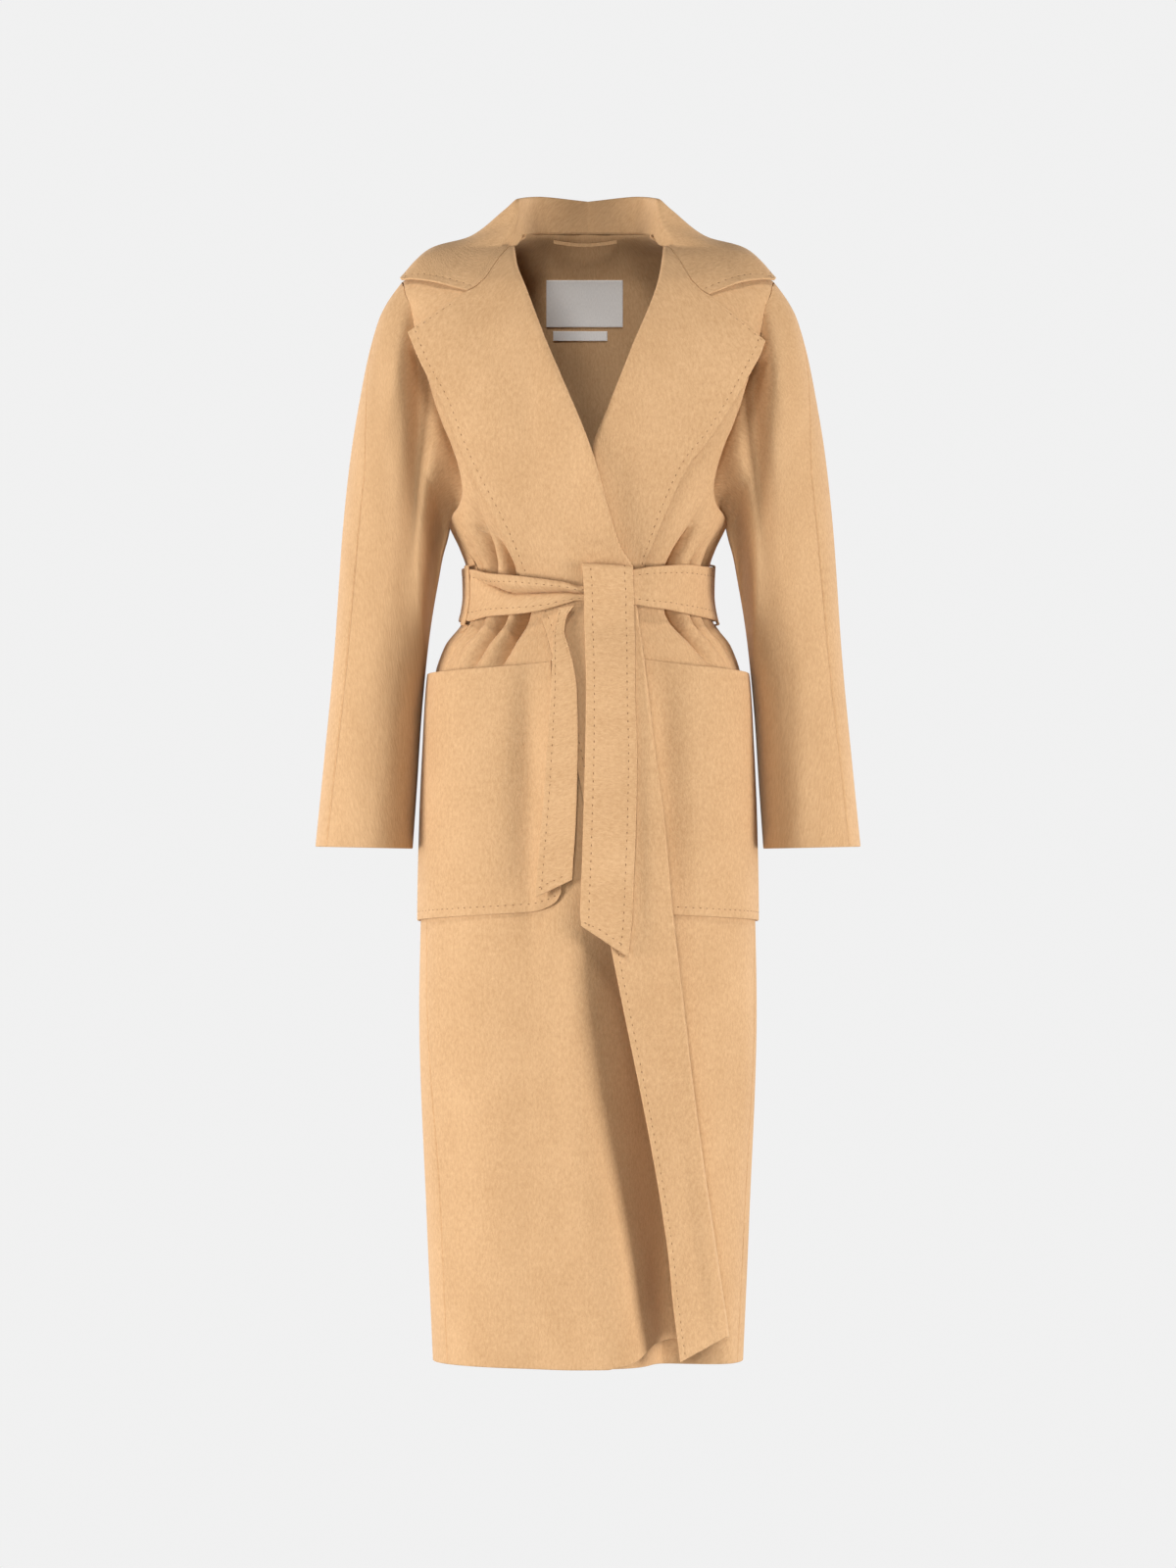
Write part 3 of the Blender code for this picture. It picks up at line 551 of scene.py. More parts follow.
def right_lapel(share, drop, roll_drop):
    """Points of the upper front's turned-back part; share runs from roll to free edge."""
    edge_drop = RIGHT_EDGE_DROP.edge_drop(drop)
    x = mix(RIGHT_ROLL.x(drop) - LAYERS.roll(drop), RIGHT_EDGE.x(edge_drop), share)
    down = mix(roll_drop, edge_drop, share) + gorge_dip(share, drop)
    return on_front(x, down, rise(x, down) + lapel_out(share, drop))


def left_lapel(share, drop, roll_drop):
    edge_drop = LEFT_EDGE_DROP.edge_drop(drop)
    x = mix(LEFT_ROLL.x(drop) + LAYERS.roll(drop), LEFT_EDGE.x(edge_drop), share)
    down = mix(roll_drop, edge_drop, share) + gorge_dip(share, drop)
    return on_front(x, down, lapel_out(share, drop))


def front_grid(front, lapel, roll_x, seam, side):
    """Rows run from the side seam to the roll, round it, and back over the front."""
    grid = []
    for drop in FRONT_ROWS:
        limit = side_limit(drop, seam)
        roll = LAYERS.roll(drop)
        start = -side * (limit - seam_angle(limit, drop))
        end_x = roll_x(drop) - side * roll
        end = angle_of(end_x, drop, rise(end_x, drop) - hollow(end_x, drop) if side > 0 else 0.0)
        row = level(front(mix(start, end, FRONT_SHARES), float(drop)), drop)
        turned = lapel(LAPEL_SHARES, float(drop), row[-1, 2])
        middle = (row[-1] + turned[0]) / 2
        half = (row[-1] - turned[0]) / 2
        edge = [middle + half * math.cos(turn) + (side * roll * math.sin(turn), 0, 0) for turn in ROLL_TURNS]
        line = np.vstack((row, edge, turned))
        turn_place = np.arange(len(line)) - (len(row) - 1)
        grid.append(np.column_stack((line, np.full(len(line), drop), turn_place)))
    return np.array(grid)


def left_edge_x(drop):
    return LEFT_ROLL.x(drop) if drop < LEFT_BREAK_DROP else LEFT_LOWER_EDGE.x(drop)


right_grid = front_grid(right_front, right_lapel, RIGHT_ROLL.x, SIDE_SEAMS.right, 1)
left_grid = front_grid(left_front, left_lapel, left_edge_x, SIDE_SEAMS.left, -1)[:, ::-1]
right = cloth("front_panel_right", right_grid, CLOTH, CAMEL,
              cut("front_right", (0.52, 1.18), 0.41, "hung", ["collar_piece"]),
              {"first": SEWN, "last": STITCHED, "top": STITCHED, "bottom": FINISHED}, upright=True)
left = cloth("front_panel_left", left_grid, CLOTH, CAMEL,
             cut("front_left", (0.42, 1.18), 0.25, "hung", ["collar_piece"]),
             {"first": STITCHED, "last": SEWN, "top": STITCHED, "bottom": FINISHED},
             keep=lambda at: (at[..., 0] < LEFT_BREAK_DROP - 3) | (at[..., 1] < 0), upright=True)

# The sleeves: cut in kimono fashion, each in a front and a back half that are joined by a
# seam over the arm and one under it. They hang open at the cuff, with a deep fold under the arm.

SLEEVE = Table("ring over_out over_drop under_out under_drop front back middle fold web seam",
               (0, 188, 38, 141, 286, 46, 48, 0, 0.62, 1.0, 0),
               (1, 207, 64, 144, 300, 53, 55, 0, 0.66, 1.0, 2),
               (2, 221, 106, 149, 318, 57, 59, 1, 0.70, 1.0, 12),
               (3, 232, 160, 154, 345, 58, 61, 3, 0.75, 0.9, 33),
               (4, 241, 216, 160, 380, 58, 61, 5, 0.84, 0.6, 47),
               (5, 249, 290, 165, 418, 58, 60, 6, 0.93, 0.25, 48),
               (6, 258, 420, 171, 482, 57, 59, 4, 1.0, 0.0, 44),
               (7, 268, 525, 175.5, 552, 57, 58, 0, 1.0, 0.0, 41),
               (8, 277, 614, 180, 616, 57, 57, -4, 1.0, 0.0, 39))
SLEEVE_RINGS = np.concatenate((np.linspace(0, 1.4, 26), np.linspace(1.4, 8, 74)[1:]))
SLEEVE_TURNS = np.linspace(0, 1, 46)
ARM_GAP = 0.3
SLEEVE_MEETS = 1.3       # rings over which a sleeve grows out of the arm opening
SLEEVE_FOLDS_FROM = 0.8
UNDER_GAP = 0.004        # half the gap of the seam under the arm, as a turn

# Folds of each sleeve's front, as seen: out from the middle, drop, depth and width.
SleeveFold = namedtuple("SleeveFold", "x1 drop1 x2 drop2 depth width")
SLEEVE_FOLDS = {
    -1: (SleeveFold(184, 58, 212, 205, -5.0, 9), SleeveFold(170, 84, 177, 320, 15.0, 11),
         SleeveFold(208, 250, 196, 420, -2.5, 16), SleeveFold(186, 330, 214, 540, 2.2, 15),
         SleeveFold(232, 300, 240, 500, 1.8, 16), SleeveFold(205, 470, 210, 620, -1.6, 14)),
    1: (SleeveFold(180, 52, 204, 180, -4.4, 9), SleeveFold(168, 80, 175, 310, 16.0, 11),
        SleeveFold(204, 240, 190, 400, -2.8, 16), SleeveFold(184, 345, 208, 520, 2.6, 15),
        SleeveFold(236, 330, 238, 560, 1.6, 18), SleeveFold(216, 500, 214, 620, -1.8, 13)),
}


def seen_folds(x, drop, folds):
    """Depth of folds given by two points each, as they are seen from the front."""
    depth = 0.0 * x
    for fold in folds:
        along = np.array((fold.x2 - fold.x1, fold.drop2 - fold.drop1))
        length = np.linalg.norm(along)
        along = along / length
        run = ((x - fold.x1) * along[0] + (drop - fold.drop1) * along[1]) / length
        beside = (x - fold.x1) * along[1] - (drop - fold.drop1) * along[0]
        strength = fold.depth * ease((run + 0.2) / 0.4) * ease((1.2 - run) / 0.5)
        depth = depth + strength * bump(beside, fold.width)
    return depth


def sleeve_ring(side, ring, turns):
    """turns run from the arm's outer line (0) by the front to the under-arm (pi), back to 2 pi."""
    share = (1 - np.cos(turns)) / 2
    front = turns < math.pi
    fold = SLEEVE.fold(ring)
    falling = 1 - ease((share - fold) / max(1 - fold, 0.02))
    rising = np.sqrt(np.clip(1 - (1 - np.minimum(2 * share, 1)) ** 2, 0, 1))
    depth = np.where(front, -SLEEVE.front(ring) * mix(np.sin(turns), rising * falling, SLEEVE.web(ring)),
                     -SLEEVE.back(ring) * np.sin(turns))
    tube = np.stack((mix(SLEEVE.over_out(ring), SLEEVE.under_out(ring), share), SLEEVE.middle(ring) + depth,
                     mix(SLEEVE.over_drop(ring), SLEEVE.under_drop(ring), share)), -1)
    drop = mix(SHOULDER_DROP, UNDERARM_DROP, share)
    angle = ARM_OPENING.angle(drop)
    opening = body_cloth(np.where(front, angle, 180 - angle), drop)
    opening[:, 0] += ARM_GAP
    points = mix(opening, tube, ease(ring / SLEEVE_MEETS))
    inner = ease(ring / SLEEVE_FOLDS_FROM) * np.sin(turns) ** 2
    folds = seen_folds(points[:, 0], points[:, 2], SLEEVE_FOLDS[side])
    points[:, 1] += inner * folds * np.where(front, 1, -0.5)
    return points * (side, 1, 1)


HALF_FLAT = {"front": (0.20, 0.62), "back": (0.28, 0.62)}
HALF_AREA = {"front": 0.062, "back": 0.10}
for side, name in ((-1, "right"), (1, "left")):
    for half in ("front", "back"):
        grid = []
        for ring in SLEEVE_RINGS:
            seam = math.radians(SLEEVE.seam(ring))
            over_gap = mix(0.02, 0.003, ease(ring))
            if half == "front":
                turns = mix(seam + over_gap, math.pi - UNDER_GAP, SLEEVE_TURNS)
            else:
                turns = mix(2 * math.pi + seam - over_gap, math.pi + UNDER_GAP, SLEEVE_TURNS)
            grid.append(sleeve_ring(side, ring, np.mod(turns, 2 * math.pi)))
        grid = np.array(grid)
        if (side > 0) == (half == "front"):
            grid = grid[:, ::-1]
        node = "sleeve_" + name + "_" + half
        cloth(node + "_half", grid, CLOTH, CAMEL,
              cut(node, HALF_FLAT[half], HALF_AREA[half], "hung", ["front_panel_" + name, "back_panel"]),
              {"first": SEWN, "last": SEWN, "bottom": FINISHED})

# The collar: a wide notched collar of the same wool with its stand, which rises from the
# neck seam, rolls over and falls on the shoulders. It is sewn to the lapels at the gorge.

Rib = namedtuple("Rib", "station seam fold middle edge")
RIBS = (
    Rib(0.00, (0, 60, -11), (0, 69, -43), (0, 86, -8), (0, 103, 52)),
    Rib(0.28, (46, 44, -11), (50, 52, -48), (76, 74, -12), (114, 90, 48)),
    Rib(0.52, (65, 6, -9.0), (71, 12, -46), (117, 24, -9), (190, 32, 34)),
    Rib(0.63, (73, -5, 0.4), (76, -4, -23), (124, 8, -4), (191, 12, 34.5)),
    Rib(0.72, (83, -12, 3), (88, -16, -4), (133, -10, 5), (191.5, 2, 34.5)),
    Rib(0.86, (101, -52, 34), (108, -46, 22), (143, -30, 19), (191.5, -8, 34.5)),
    Rib(1.00, (122, -64, 46.5), (131, -62, 43.5), (156, -48, 38), (190.5, -18, 35)),
)
COLLAR_BULGE = Table("station lift", (0, 2), (0.3, 4), (0.5, 12), (0.72, 11), (0.9, 5), (1, 1))
GORGE_STATION = 0.72
GORGE_SHARE = 0.42       # of a lapel's top edge, sewn to the collar
GORGE_BLEND = 0.16
GORGE_GAP = (0, 0, -0.6)
COLLAR_STATIONS = np.linspace(-1, 1, 151)
COLLAR_SHARES = np.linspace(0, 1, 60)


def through(points, shares):
    """Points along a rounded line through the given ones."""
    points = np.array(points, float)
    spans = len(points) - 1
    padded = np.vstack((2 * points[0] - points[1], points, 2 * points[-1] - points[-2]))
    line = []
    for share in shares:
        i = min(int(share * spans), spans - 1)
        s = share * spans - i
        a, b, c, d = padded[i:i + 4]
        line.append(0.5 * (2 * b + (c - a) * s + (2 * a - 5 * b + 4 * c - d) * s * s
                           + (3 * b - a - 3 * c + d) * s ** 3))
    return np.array(line)


RIB_CURVES = [[curve([rib.station for rib in RIBS], [getattr(rib, part)[axis] for rib in RIBS])
               for axis in range(3)] for part in Rib._fields[1:]]
collar_grid = []
for station in COLLAR_STATIONS:
    side = math.copysign(1, station)
    seam, fold, middle, edge = [np.array([axis(abs(station)) for axis in part]) for part in RIB_CURVES]
    gorge = (abs(station) - GORGE_STATION) / (1 - GORGE_STATION)
    joined = ease((gorge + GORGE_BLEND) / GORGE_BLEND)
    lapel = left_lapel if side > 0 else right_lapel
    top_edge = lapel(LAPEL_SHARES, LAPEL_TOP_DROP, LAPEL_TOP_DROP) * (side, 1, 1)
    share = GORGE_SHARE * max(gorge, 0)
    on_lapel = np.array([np.interp(share, LAPEL_SHARES, top_edge[:, axis]) for axis in range(3)]) + GORGE_GAP
    seam = mix(seam, on_lapel, joined)
    fold = mix(fold, mix(on_lapel, middle, 0.2), joined)
    outer = mix(middle, edge, 0.6) - (0, 0, COLLAR_BULGE.lift(abs(station)))
    stand = mix(seam, fold, 0.62)
    fall = mix(fold, middle, 0.3)
    line = through((seam, stand, fold, fall, middle, outer, edge), COLLAR_SHARES)
    collar_grid.append(line * (side, 1, 1))
collar = cloth("collar_piece", np.array(collar_grid).transpose(1, 0, 2)[:, ::-1], CLOTH, CAMEL,
               cut("collar", (0.60, 0.15), 0.075, "folded", ["back_panel"]),
               {"bottom": STITCHED, "first": STITCHED, "last": STITCHED, "top": SEWN})

# The patch pockets: large squares of the wool sewn on the fronts by hand, round the side
# seam, with one rounded corner. Their mouths stand a little off the coat.

Pocket = namedtuple("Pocket", "name inner_x inner_x_low outer_angle top_inner top_outer"
                              " bottom_inner bottom_outer")
POCKETS = (
    Pocket("right", -35, -25, -97, 424, 440, 677, 690),
    Pocket("left", 52, 62, 97, 421, 440, 681, 690),
)
POCKET_STAND = 13.0
POCKET_LAY = PLY + 1.0
POCKET_CORNER = 17.0
CORNER_SHARE = 0.14      # of the pocket's width, taken up by the rounded corner
POCKET_ACROSS = np.concatenate((np.linspace(0, CORNER_SHARE, 16), np.linspace(CORNER_SHARE, 1, 60)[1:]))
POCKET_DOWN = np.concatenate((np.linspace(0, 0.9, 46), np.linspace(0.9, 1, 12)[1:]))

pockets = {}
for pocket in POCKETS:
    front = right_front if pocket.outer_angle < 0 else left_front
    grid = []
    for down in POCKET_DOWN:
        drop = mix(mix(pocket.top_inner, pocket.top_outer, POCKET_ACROSS ** 0.7),
                   mix(pocket.bottom_inner, pocket.bottom_outer, POCKET_ACROSS ** 0.6), down)
        corner = np.clip(1 - POCKET_ACROSS / CORNER_SHARE, 0, 1)
        drop = drop - POCKET_CORNER * (1 - np.sqrt(1 - corner ** 2)) * down ** 12
        inner = angle_of(mix(pocket.inner_x, pocket.inner_x_low, down), drop)
        angle = mix(inner, pocket.outer_angle, POCKET_ACROSS)
        stand = POCKET_STAND * np.sin(math.pi * POCKET_ACROSS) ** 1.2 * (1 - down) ** 0.8
        grid.append(front(angle, drop, POCKET_LAY + stand + waist_folds(angle, drop)))
    grid = np.array(grid)
    if pocket.outer_angle < 0:
        grid = grid[:, ::-1]
    pockets[pocket.name] = cloth(
        "patch_pocket_" + pocket.name, grid, CLOTH, CAMEL,
        cut("pocket_" + pocket.name, (0.23, 0.27), 0.056, "hung", ["front_panel_" + pocket.name]),
        {"first": FINISHED, "last": FINISHED, "top": FINISHED, "bottom": STITCHED}, upright=True)

# The belt: a band of two layers of the wool, turned and stitched along both edges. It goes
# round the waist, is drawn together into a knot, and its two ends hang over the front.

BELT_CLOTH = 3.6
BAND = Table("angle top bottom out",
             (20, 331, 367, 15), (28, 328, 370, 14.6), (37, 327, 372, 9.5), (50, 326, 376, 4.8),
             (70, 328, 381, 4.3), (90, 329, 384, 4.3), (180, 330, 385, 4.3), (270, 330, 385, 4.3),
             (292, 331, 384, 4.3), (310, 335, 379, 6), (326, 337, 377, 11.5), (338, 340, 374, 14.6),
             (351, 345, 366, 14.6), (356, 349, 363, 14.6), (371, 342, 366, 14.6))
BELT_CREASE = Table("angle share depth", (20, 0.5, 0), (285, 0.10, 0), (294, 0.16, 2.0), (310, 0.30, 5.5),
                    (326, 0.46, 8.0), (346, 0.42, 9.0), (358, 0.42, 8.0), (371, 0.42, 4))
BAND_ANGLES = np.linspace(16.5, 371, 300)
BELT_WIDTH = 50.0
BELT_NEAR = np.array(STITCHED)
BELT_MIDDLE = np.linspace(13.5, BELT_WIDTH - 13.5, 12)
BELT_LINES = np.concatenate((BELT_NEAR, BELT_MIDDLE, BELT_WIDTH - BELT_NEAR[::-1]))
BELT_MARKS = np.minimum(BELT_LINES, BELT_WIDTH - BELT_LINES)
BELT_SHARES = BELT_LINES / BELT_WIDTH
band_grid = []
for share in BELT_SHARES:
    drop = mix(BAND.top(BAND_ANGLES), BAND.bottom(BAND_ANGLES), share)
    beside = share - BELT_CREASE.share(BAND_ANGLES)
    crease = BELT_CREASE.depth(BAND_ANGLES) * (pleat(beside, 0.085) - 0.42 * bump(beside + 0.26, 0.14))
    band_grid.append(on_body(BAND_ANGLES, drop, BAND.out(BAND_ANGLES) - crease))
band = cloth("belt_round_waist", np.array(band_grid), BELT_CLOTH, CAMEL,
             cut("belt_band", (0.74, 0.055), 0.037, "gathered", ["back_panel", "front_panel_right"]),
             {}, ready={"rows": BELT_MARKS})

# The hanging ends, row by row: where each edge lies and how far it stands off the body.
Row = namedtuple("Row", "left_drop right_drop left_x right_x left_out right_out")
LONG_END = (
    Row(337, 338, -4, 45, 15.4, 16.4), Row(330, 333, -6, 46, 16.4, 17.2), Row(326, 329, -6, 46, 19.6, 20.4),
    Row(329, 333, -6, 46, 22, 22.4), Row(340, 342, -5, 46, 22.4, 22.8), Row(358, 358, -4, 47, 21.6, 22),
    Row(376, 376, -4, 47, 21.4, 21.6), Row(410, 410, -3, 48, 21.6, 21), Row(450, 450, -2, 48, 21.6, 20.6),
    Row(520, 520, -3, 50, 21, 19.6), Row(590, 590, -5, 49, 20.4, 19.2), Row(640, 640, -6.5, 47, 19.8, 19),
    Row(680, 688, -8, 45, 19.4, 18.6), Row(695, 727, -7, 41, 19.2, 18.4),
)
SHORT_END = (
    Row(371, 368, -30, -14, 17.6, 18), Row(384, 380, -32, -22, 18.4, 18.2),
    Row(396, 394, -35, -24, 18.6, 18.2), Row(412, 412, -36, -19, 18.8, 18.4),
    Row(432, 432, -37, -14, 18.9, 18.4), Row(455, 455, -38, -11, 18.9, 18.3),
    Row(500, 500, -41, -10, 18.8, 18.2), Row(560, 556, -45, -11, 18.6, 18),
    Row(610, 604, -49.5, -13, 18.4, 17.8), Row(640, 630, -52, -15, 18.2, 17.6),
    Row(666, 648, -54, -16, 18, 17.4),
)


def hanging(rows, count, shares):
    """A strip given by its two edges, hung on the coat's front."""
    stations = np.arange(len(rows))
    edges = {part: curve(stations, [getattr(row, part) for row in rows]) for part in Row._fields}
    grid = []
    for station in np.linspace(0, len(rows) - 1, count):
        drop = mix(edges["left_drop"](station), edges["right_drop"](station), shares)
        x = mix(edges["left_x"](station), edges["right_x"](station), shares)
        out = mix(edges["left_out"](station), edges["right_out"](station), shares)
        grid.append(on_front(x, drop, out))
    return np.array(grid)


long_end = cloth("belt_hanging_long", hanging(LONG_END, 110, BELT_SHARES), BELT_CLOTH, CAMEL,
                 cut("belt_end_long", (0.052, 0.42), 0.021, "hung", ["belt_round_waist"]),
                 {"bottom": STITCHED}, across=True, ready={"columns": BELT_MARKS})
short_end = cloth("belt_hanging_short", hanging(SHORT_END, 90, BELT_SHARES), BELT_CLOTH, CAMEL,
                  cut("belt_end_short", (0.042, 0.31), 0.0095, "hung", ["belt_round_waist"]),
                  {"bottom": STITCHED}, across=True, ready={"columns": BELT_MARKS})

# The belt keepers: narrow loops of the wool at the side seams, sewn on above and below
# the belt, which passes behind them.

Keeper = namedtuple("Keeper", "side angle")
KEEPER_CLOTH = 1.6
KEEPER_HALF = 3.0        # degrees round the body
KEEPER_TURN = 0.6        # how far a keeper's edges turn down to the belt
KEEPER_PATH = Table("share drop out", (0, 320, 2.1), (0.13, 326.4, 2.4), (0.19, 328.4, 6.8), (0.5, 357, 7.0),
                    (0.81, 386.6, 6.8), (0.87, 388.6, 2.4), (1, 395, 2.1))
KEEPER_EDGE = (0, 0.1, 0.3, 0.6, 0.9)
for keeper in (Keeper("right", -73), Keeper("left", 97)):
    share = np.linspace(0, 1, 90)
    drop = KEEPER_PATH.drop(share)
    on_belt = ease((KEEPER_PATH.out(share) - 3.0) / 2.0)
    columns = []
    for across in np.linspace(-1, 1, 11):
        angle = keeper.angle + across * KEEPER_HALF
        lying = (1 - on_belt) * (waist_folds(angle, drop) + creases(angle, drop)) + KEEPER_TURN * across ** 4
        columns.append(on_body(angle, drop, KEEPER_PATH.out(share) - lying))
    cloth("keeper_" + keeper.side, np.array(columns).transpose(1, 0, 2), KEEPER_CLOTH, CAMEL,
          cut("belt_keeper_" + keeper.side, (0.011, 0.09), 0.00095, "stretched", ["belt_round_waist"]),
          {"first": KEEPER_EDGE, "last": KEEPER_EDGE})

# Inside the back neck: two blank satin ribbons sewn to the back, and a narrow hanger loop
# of the wool caught in the neck seam.

RIBBON = 1.0
RIBBON_EDGE = (0, 0.08, 0.25, 0.5)
Label = namedtuple("Label", "name node left right top bottom flat area")
LABELS = (
    Label("ribbon_large", "neck_label", -43, 36, 36, 84, (0.080, 0.050), 0.0039),
    Label("ribbon_small", "care_label", -36, 20, 88, 98, (0.058, 0.011), 0.00058),
)
RIBBON_OUT = -(CLOTH / 2 + SEAM + RIBBON / 2)
LABEL_CLEAR = 0.3
LOOP_CLEAR = 1.2
LOOP_DROP = -4.0
LOOP_SAG = 3.5

satin = bpy.data.materials.new("blank_satin")
satin.use_nodes = True
satin_surface = satin.node_tree.nodes["Principled BSDF"]
satin_start = Shade(satin.node_tree)
satin_place = satin_start.node("UVMap", {"uv_map": "cloth"}, {})
satin_lying = satin_start.node("Mapping", {}, {"Vector": satin_place, "Scale": (1600, 260, 1)})
satin_threads = satin_start.node("TexNoise", {"noise_dimensions": "2D"},
                                 {"Vector": satin_lying, "Scale": 1.0, "Detail": 2.0})
satin_start.node("Mix", {"data_type": "RGBA"},
                 {0: satin_threads, 6: (0.72, 0.70, 0.67, 1.0), 7: (0.90, 0.88, 0.85, 1.0)},
                 2).feed(satin_surface, "Base Color")
(0.30 + satin_threads * 0.22).feed(satin_surface, "Roughness")
satin_start.node("Bump", {}, {"Strength": 0.3, "Distance": 0.0002, "Height": satin_threads}).feed(
    satin_surface, "Normal")
satin_surface.inputs["Sheen Weight"].default_value = 0.2

for label in LABELS:
    grid = []
    for drop in np.linspace(label.top, label.bottom, 24):
        angle = 180 - angle_of(np.linspace(label.left, label.right, 34), drop)
        grid.append(on_body(angle, float(drop), RIBBON_OUT - LABEL_CLEAR - creases(angle, drop)))
    cloth(label.name, np.array(grid)[::-1, ::-1], RIBBON, satin,
          cut(label.node, label.flat, label.area, "stretched", ["back_panel"], "satin_label"),
          {"first": RIBBON_EDGE, "last": RIBBON_EDGE, "top": RIBBON_EDGE, "bottom": RIBBON_EDGE})

loop_share = np.linspace(0, 1, 60)
loop_x = mix(-37, 31, loop_share)
loop_sag = LOOP_SAG * np.sin(math.pi * loop_share)
loop_grid = []
for height in np.linspace(-2, 2, 7):
    point = on_body(180 - angle_of(loop_x, LOOP_DROP), LOOP_DROP + 0 * loop_x, RIBBON_OUT - LOOP_CLEAR)
    point[:, 1] -= 1.5 * loop_sag
    point[:, 2] += loop_sag + height + 1
    loop_grid.append(point)
cloth("loop_for_hanging", np.array(loop_grid), RIBBON, CAMEL,
      cut("hanger_loop", (0.075, 0.010), 0.00030, "hung", ["back_panel"]),
      {"top": RIBBON_EDGE, "bottom": RIBBON_EDGE})

# The hand stitching: short stitches of darker camel thread, a little apart, along the
# finished edges of lapels, collar, pockets and belt. Each one draws the cloth in.

THREAD = wool("camel_thread", (0.20, 0.105, 0.045, 1.0), (0.32, 0.18, 0.085, 1.0))
STITCH_PITCH = 8.0
STITCH_LONG = 2.6
STITCH_WIDE = 0.95
STITCH_HIGH = 0.32
STITCH_LIFT = 0.02
STITCH_ROUND = ((-1.0, 0.0), (-0.6, 0.8), (0.0, 1.0), (0.6, 0.8), (1.0, 0.0))
STITCH_SIDES = 6
stitch_points = []
stitch_faces = []


def stitch_along(points, normals, skip=6.0):
    """Sets stitches along a line of surface points."""
    run = np.concatenate(((0,), np.cumsum(np.linalg.norm(np.diff(points, axis=0), axis=1))))
    for at in np.arange(skip, run[-1] - skip, STITCH_PITCH):
        here = np.array([np.interp(at, run, points[:, axis]) for axis in range(3)])
        ahead = np.array([np.interp(at + 1.0, run, points[:, axis]) for axis in range(3)]) - here
        ahead /= max(np.linalg.norm(ahead), 1e-6)
        up = np.array([np.interp(at, run, normals[:, axis]) for axis in range(3)])
        up -= ahead * (up @ ahead)
        up /= max(np.linalg.norm(up), 1e-6)
        beside = np.cross(up, ahead)
        first = len(stitch_points)
        for along, wide in STITCH_ROUND:
            for k in range(STITCH_SIDES):
                turn = 2 * math.pi * k / STITCH_SIDES
                stitch_points.append(here + ahead * along * STITCH_LONG / 2
                                     + beside * math.cos(turn) * wide * STITCH_WIDE / 2
                                     + up * (math.sin(turn) * wide * STITCH_HIGH + STITCH_LIFT))
        for ring in range(len(STITCH_ROUND) - 1):
            for k in range(STITCH_SIDES):
                a = first + ring * STITCH_SIDES + k
                b = first + ring * STITCH_SIDES + (k + 1) % STITCH_SIDES
                stitch_faces.append((a, b, b + STITCH_SIDES, a + STITCH_SIDES))


def stitch_edge(sheet, side, part=slice(None)):
    """Stitches inside one side of a sheet, on the face that looks away from the coat's middle."""
    marks = sheet.columns if side in ("first", "last") else sheet.rows
    lines = np.flatnonzero(np.isclose(marks, STITCH_IN))
    line = lines[0] if side in ("first", "top") else lines[-1]
    pick = (part, line) if side in ("first", "last") else (line, part)
    normal = sheet.normal[pick]
    outward = sheet.place[pick] * (1, 1, 0)
    normal = normal * np.sign(np.median(np.sum(normal * outward, axis=1)))
    stitch_along(sheet.place[pick] + normal * sheet.half[pick][:, None], normal)


LAPEL_NOTCH = 32         # columns from the roll to the notch at the lapel's top
stitch_edge(right, "last")
stitch_edge(right, "top", right.extra[0, :, 1] > LAPEL_NOTCH)
stitch_edge(left, "first", left.extra[:, 0, 0] < LEFT_BREAK_DROP - 20)
stitch_edge(left, "top", left.extra[0, :, 1] > LAPEL_NOTCH)
for side in ("bottom", "first", "last"):
    stitch_edge(collar, side)
for name in ("right", "left"):
    stitch_edge(pockets[name], "bottom")
for sheet, sides in ((band, ("top", "bottom")), (long_end, ("first", "last", "bottom")),
                     (short_end, ("first", "bottom"))):
    for side in sides:
        stitch_edge(sheet, side)

stitch_mesh = bpy.data.meshes.new("hand_stitching")
stitch_mesh.from_pydata((np.array(stitch_points) * MM).tolist(), [], stitch_faces)
stitch_mesh.uv_layers.new(name="cloth")
stitch_mesh.materials.append(THREAD)
stitching = bpy.data.objects.new("hand_stitching", stitch_mesh)
bpy.context.scene.collection.objects.link(stitching)
bpy.ops.object.select_all(action="DESELECT")
stitching.select_set(True)
bpy.context.view_layer.objects.active = stitching
bpy.ops.object.mode_set(mode="EDIT")
bpy.ops.mesh.select_all(action="SELECT")
bpy.ops.mesh.remove_doubles(threshold=0.00001)
bpy.ops.mesh.normals_make_consistent(inside=False)
bpy.ops.object.mode_set(mode="OBJECT")
bpy.ops.object.shade_smooth()
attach(stitching, "root")

# The studio: a pale floor well below the hem and even pale surroundings. Soft boxes stand low at
# each side and in front, one hangs above for the neck and two light the back. The camera is
# level with the middle of the coat.

STUDIO_PALE = (0.877, 0.877, 0.877, 1.0)
world = bpy.data.worlds.new("studio")
bpy.context.scene.world = world
world.use_nodes = True
around = Shade(world.node_tree)
seen = around.node("LightPath", {}, {}, 0)
fill = around.node("Background", {}, {"Color": (1.0, 0.86, 0.70, 1.0), "Strength": 0.05})
pale = around.node("Background", {}, {"Color": STUDIO_PALE, "Strength": 1.0})
surroundings = around.node("MixShader", {}, {0: seen, 1: fill, 2: pale})
surroundings.feed(world.node_tree.nodes["World Output"], "Surface")

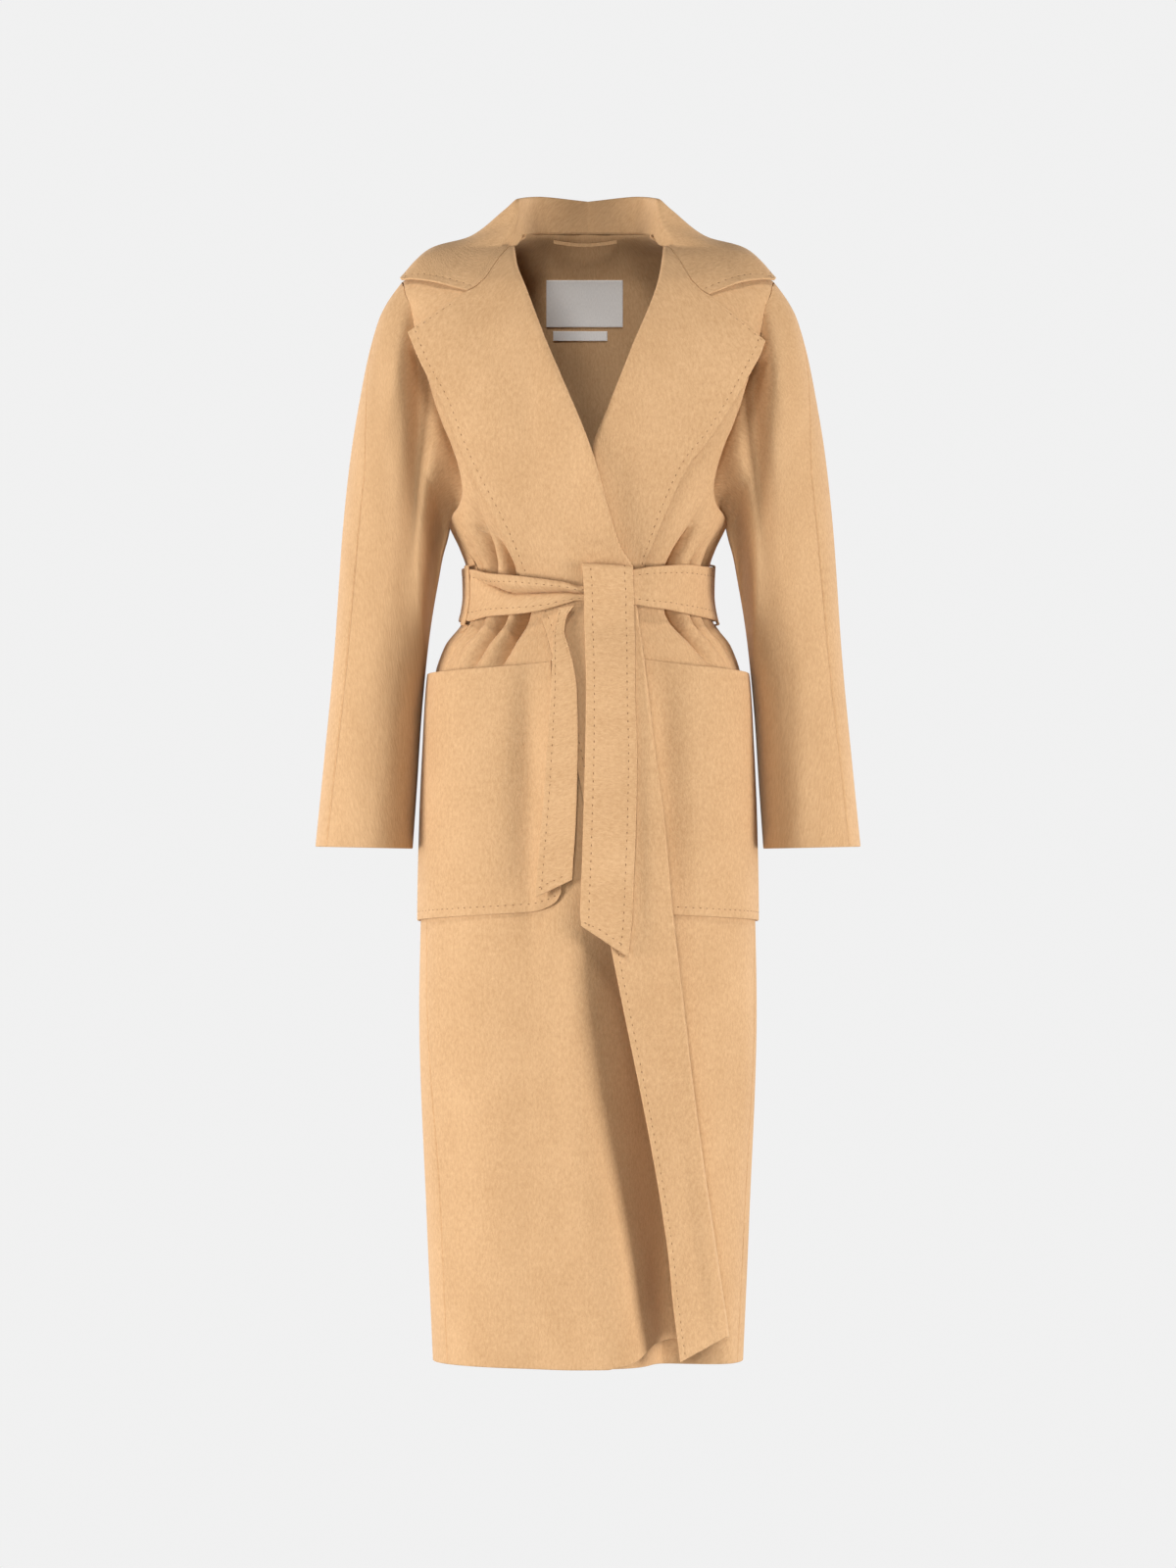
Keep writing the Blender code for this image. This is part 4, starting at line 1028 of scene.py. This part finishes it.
FLOOR_DROP = 1.62
FLOOR_GREY = (0.52, 0.52, 0.52, 1.0)
bpy.ops.mesh.primitive_circle_add(vertices=96, radius=2.1, fill_type="NGON", location=(0, 0, -FLOOR_DROP))
floor = bpy.context.object
floor.name = "floor"
bpy.ops.object.transform_apply(location=True)
floor_paint = bpy.data.materials.new("floor_paint")
floor_paint.use_nodes = True
floor_surface = floor_paint.node_tree.nodes["Principled BSDF"]
floor_surface.inputs["Base Color"].default_value = FLOOR_GREY
floor_surface.inputs["Roughness"].default_value = 0.9
floor.data.materials.append(floor_paint)

Lamp = namedtuple("Lamp", "name place aim width height power")
LAMPS = (
    Lamp("soft_box_right", (-3.55, -1.6, -0.8), (0, 0, -0.5), 1.3, 1.3, 156),
    Lamp("soft_box_left", (3.55, -1.6, -0.8), (0, 0, -0.5), 1.3, 1.3, 151),
    Lamp("soft_box_front", (-0.6, -4.8, -0.5), (0, 0, -0.4), 0.9, 0.9, 58),
    Lamp("soft_box_top", (-0.3, -2.9, 3.0), (0, 0, 0), 0.9, 0.9, 80),
    Lamp("soft_box_back_right", (-2.8, 3.4, 0.3), (0, 0, -0.6), 1.6, 2.2, 130),
    Lamp("soft_box_back_left", (2.8, 3.4, 0.3), (0, 0, -0.6), 1.6, 2.2, 124),
)
for lamp in LAMPS:
    bpy.ops.object.light_add(type="AREA", location=lamp.place)
    light = bpy.context.object
    light.name = lamp.name
    light.data.shape = "RECTANGLE"
    light.data.size = lamp.width
    light.data.size_y = lamp.height
    light.data.energy = lamp.power
    aim = Vector(lamp.aim) - Vector(lamp.place)
    light.rotation_euler = aim.to_track_quat("-Z", "Y").to_euler()

FILM = 36.0
FRAME_HEIGHT = 1600.0    # the picture's height, in pixels and so in millimetres of the coat
bpy.ops.object.camera_add(location=(0, -VIEW_DISTANCE * MM, -EYE_DROP * MM),
                          rotation=(math.radians(90), 0, 0))
camera = bpy.context.object
camera.data.sensor_width = FILM
camera.data.lens = FILM * VIEW_DISTANCE / FRAME_HEIGHT
camera.data.clip_end = 100.0
bpy.context.scene.camera = camera
bpy.context.scene.view_settings.view_transform = "Standard"
bpy.context.scene.view_settings.look = "None"
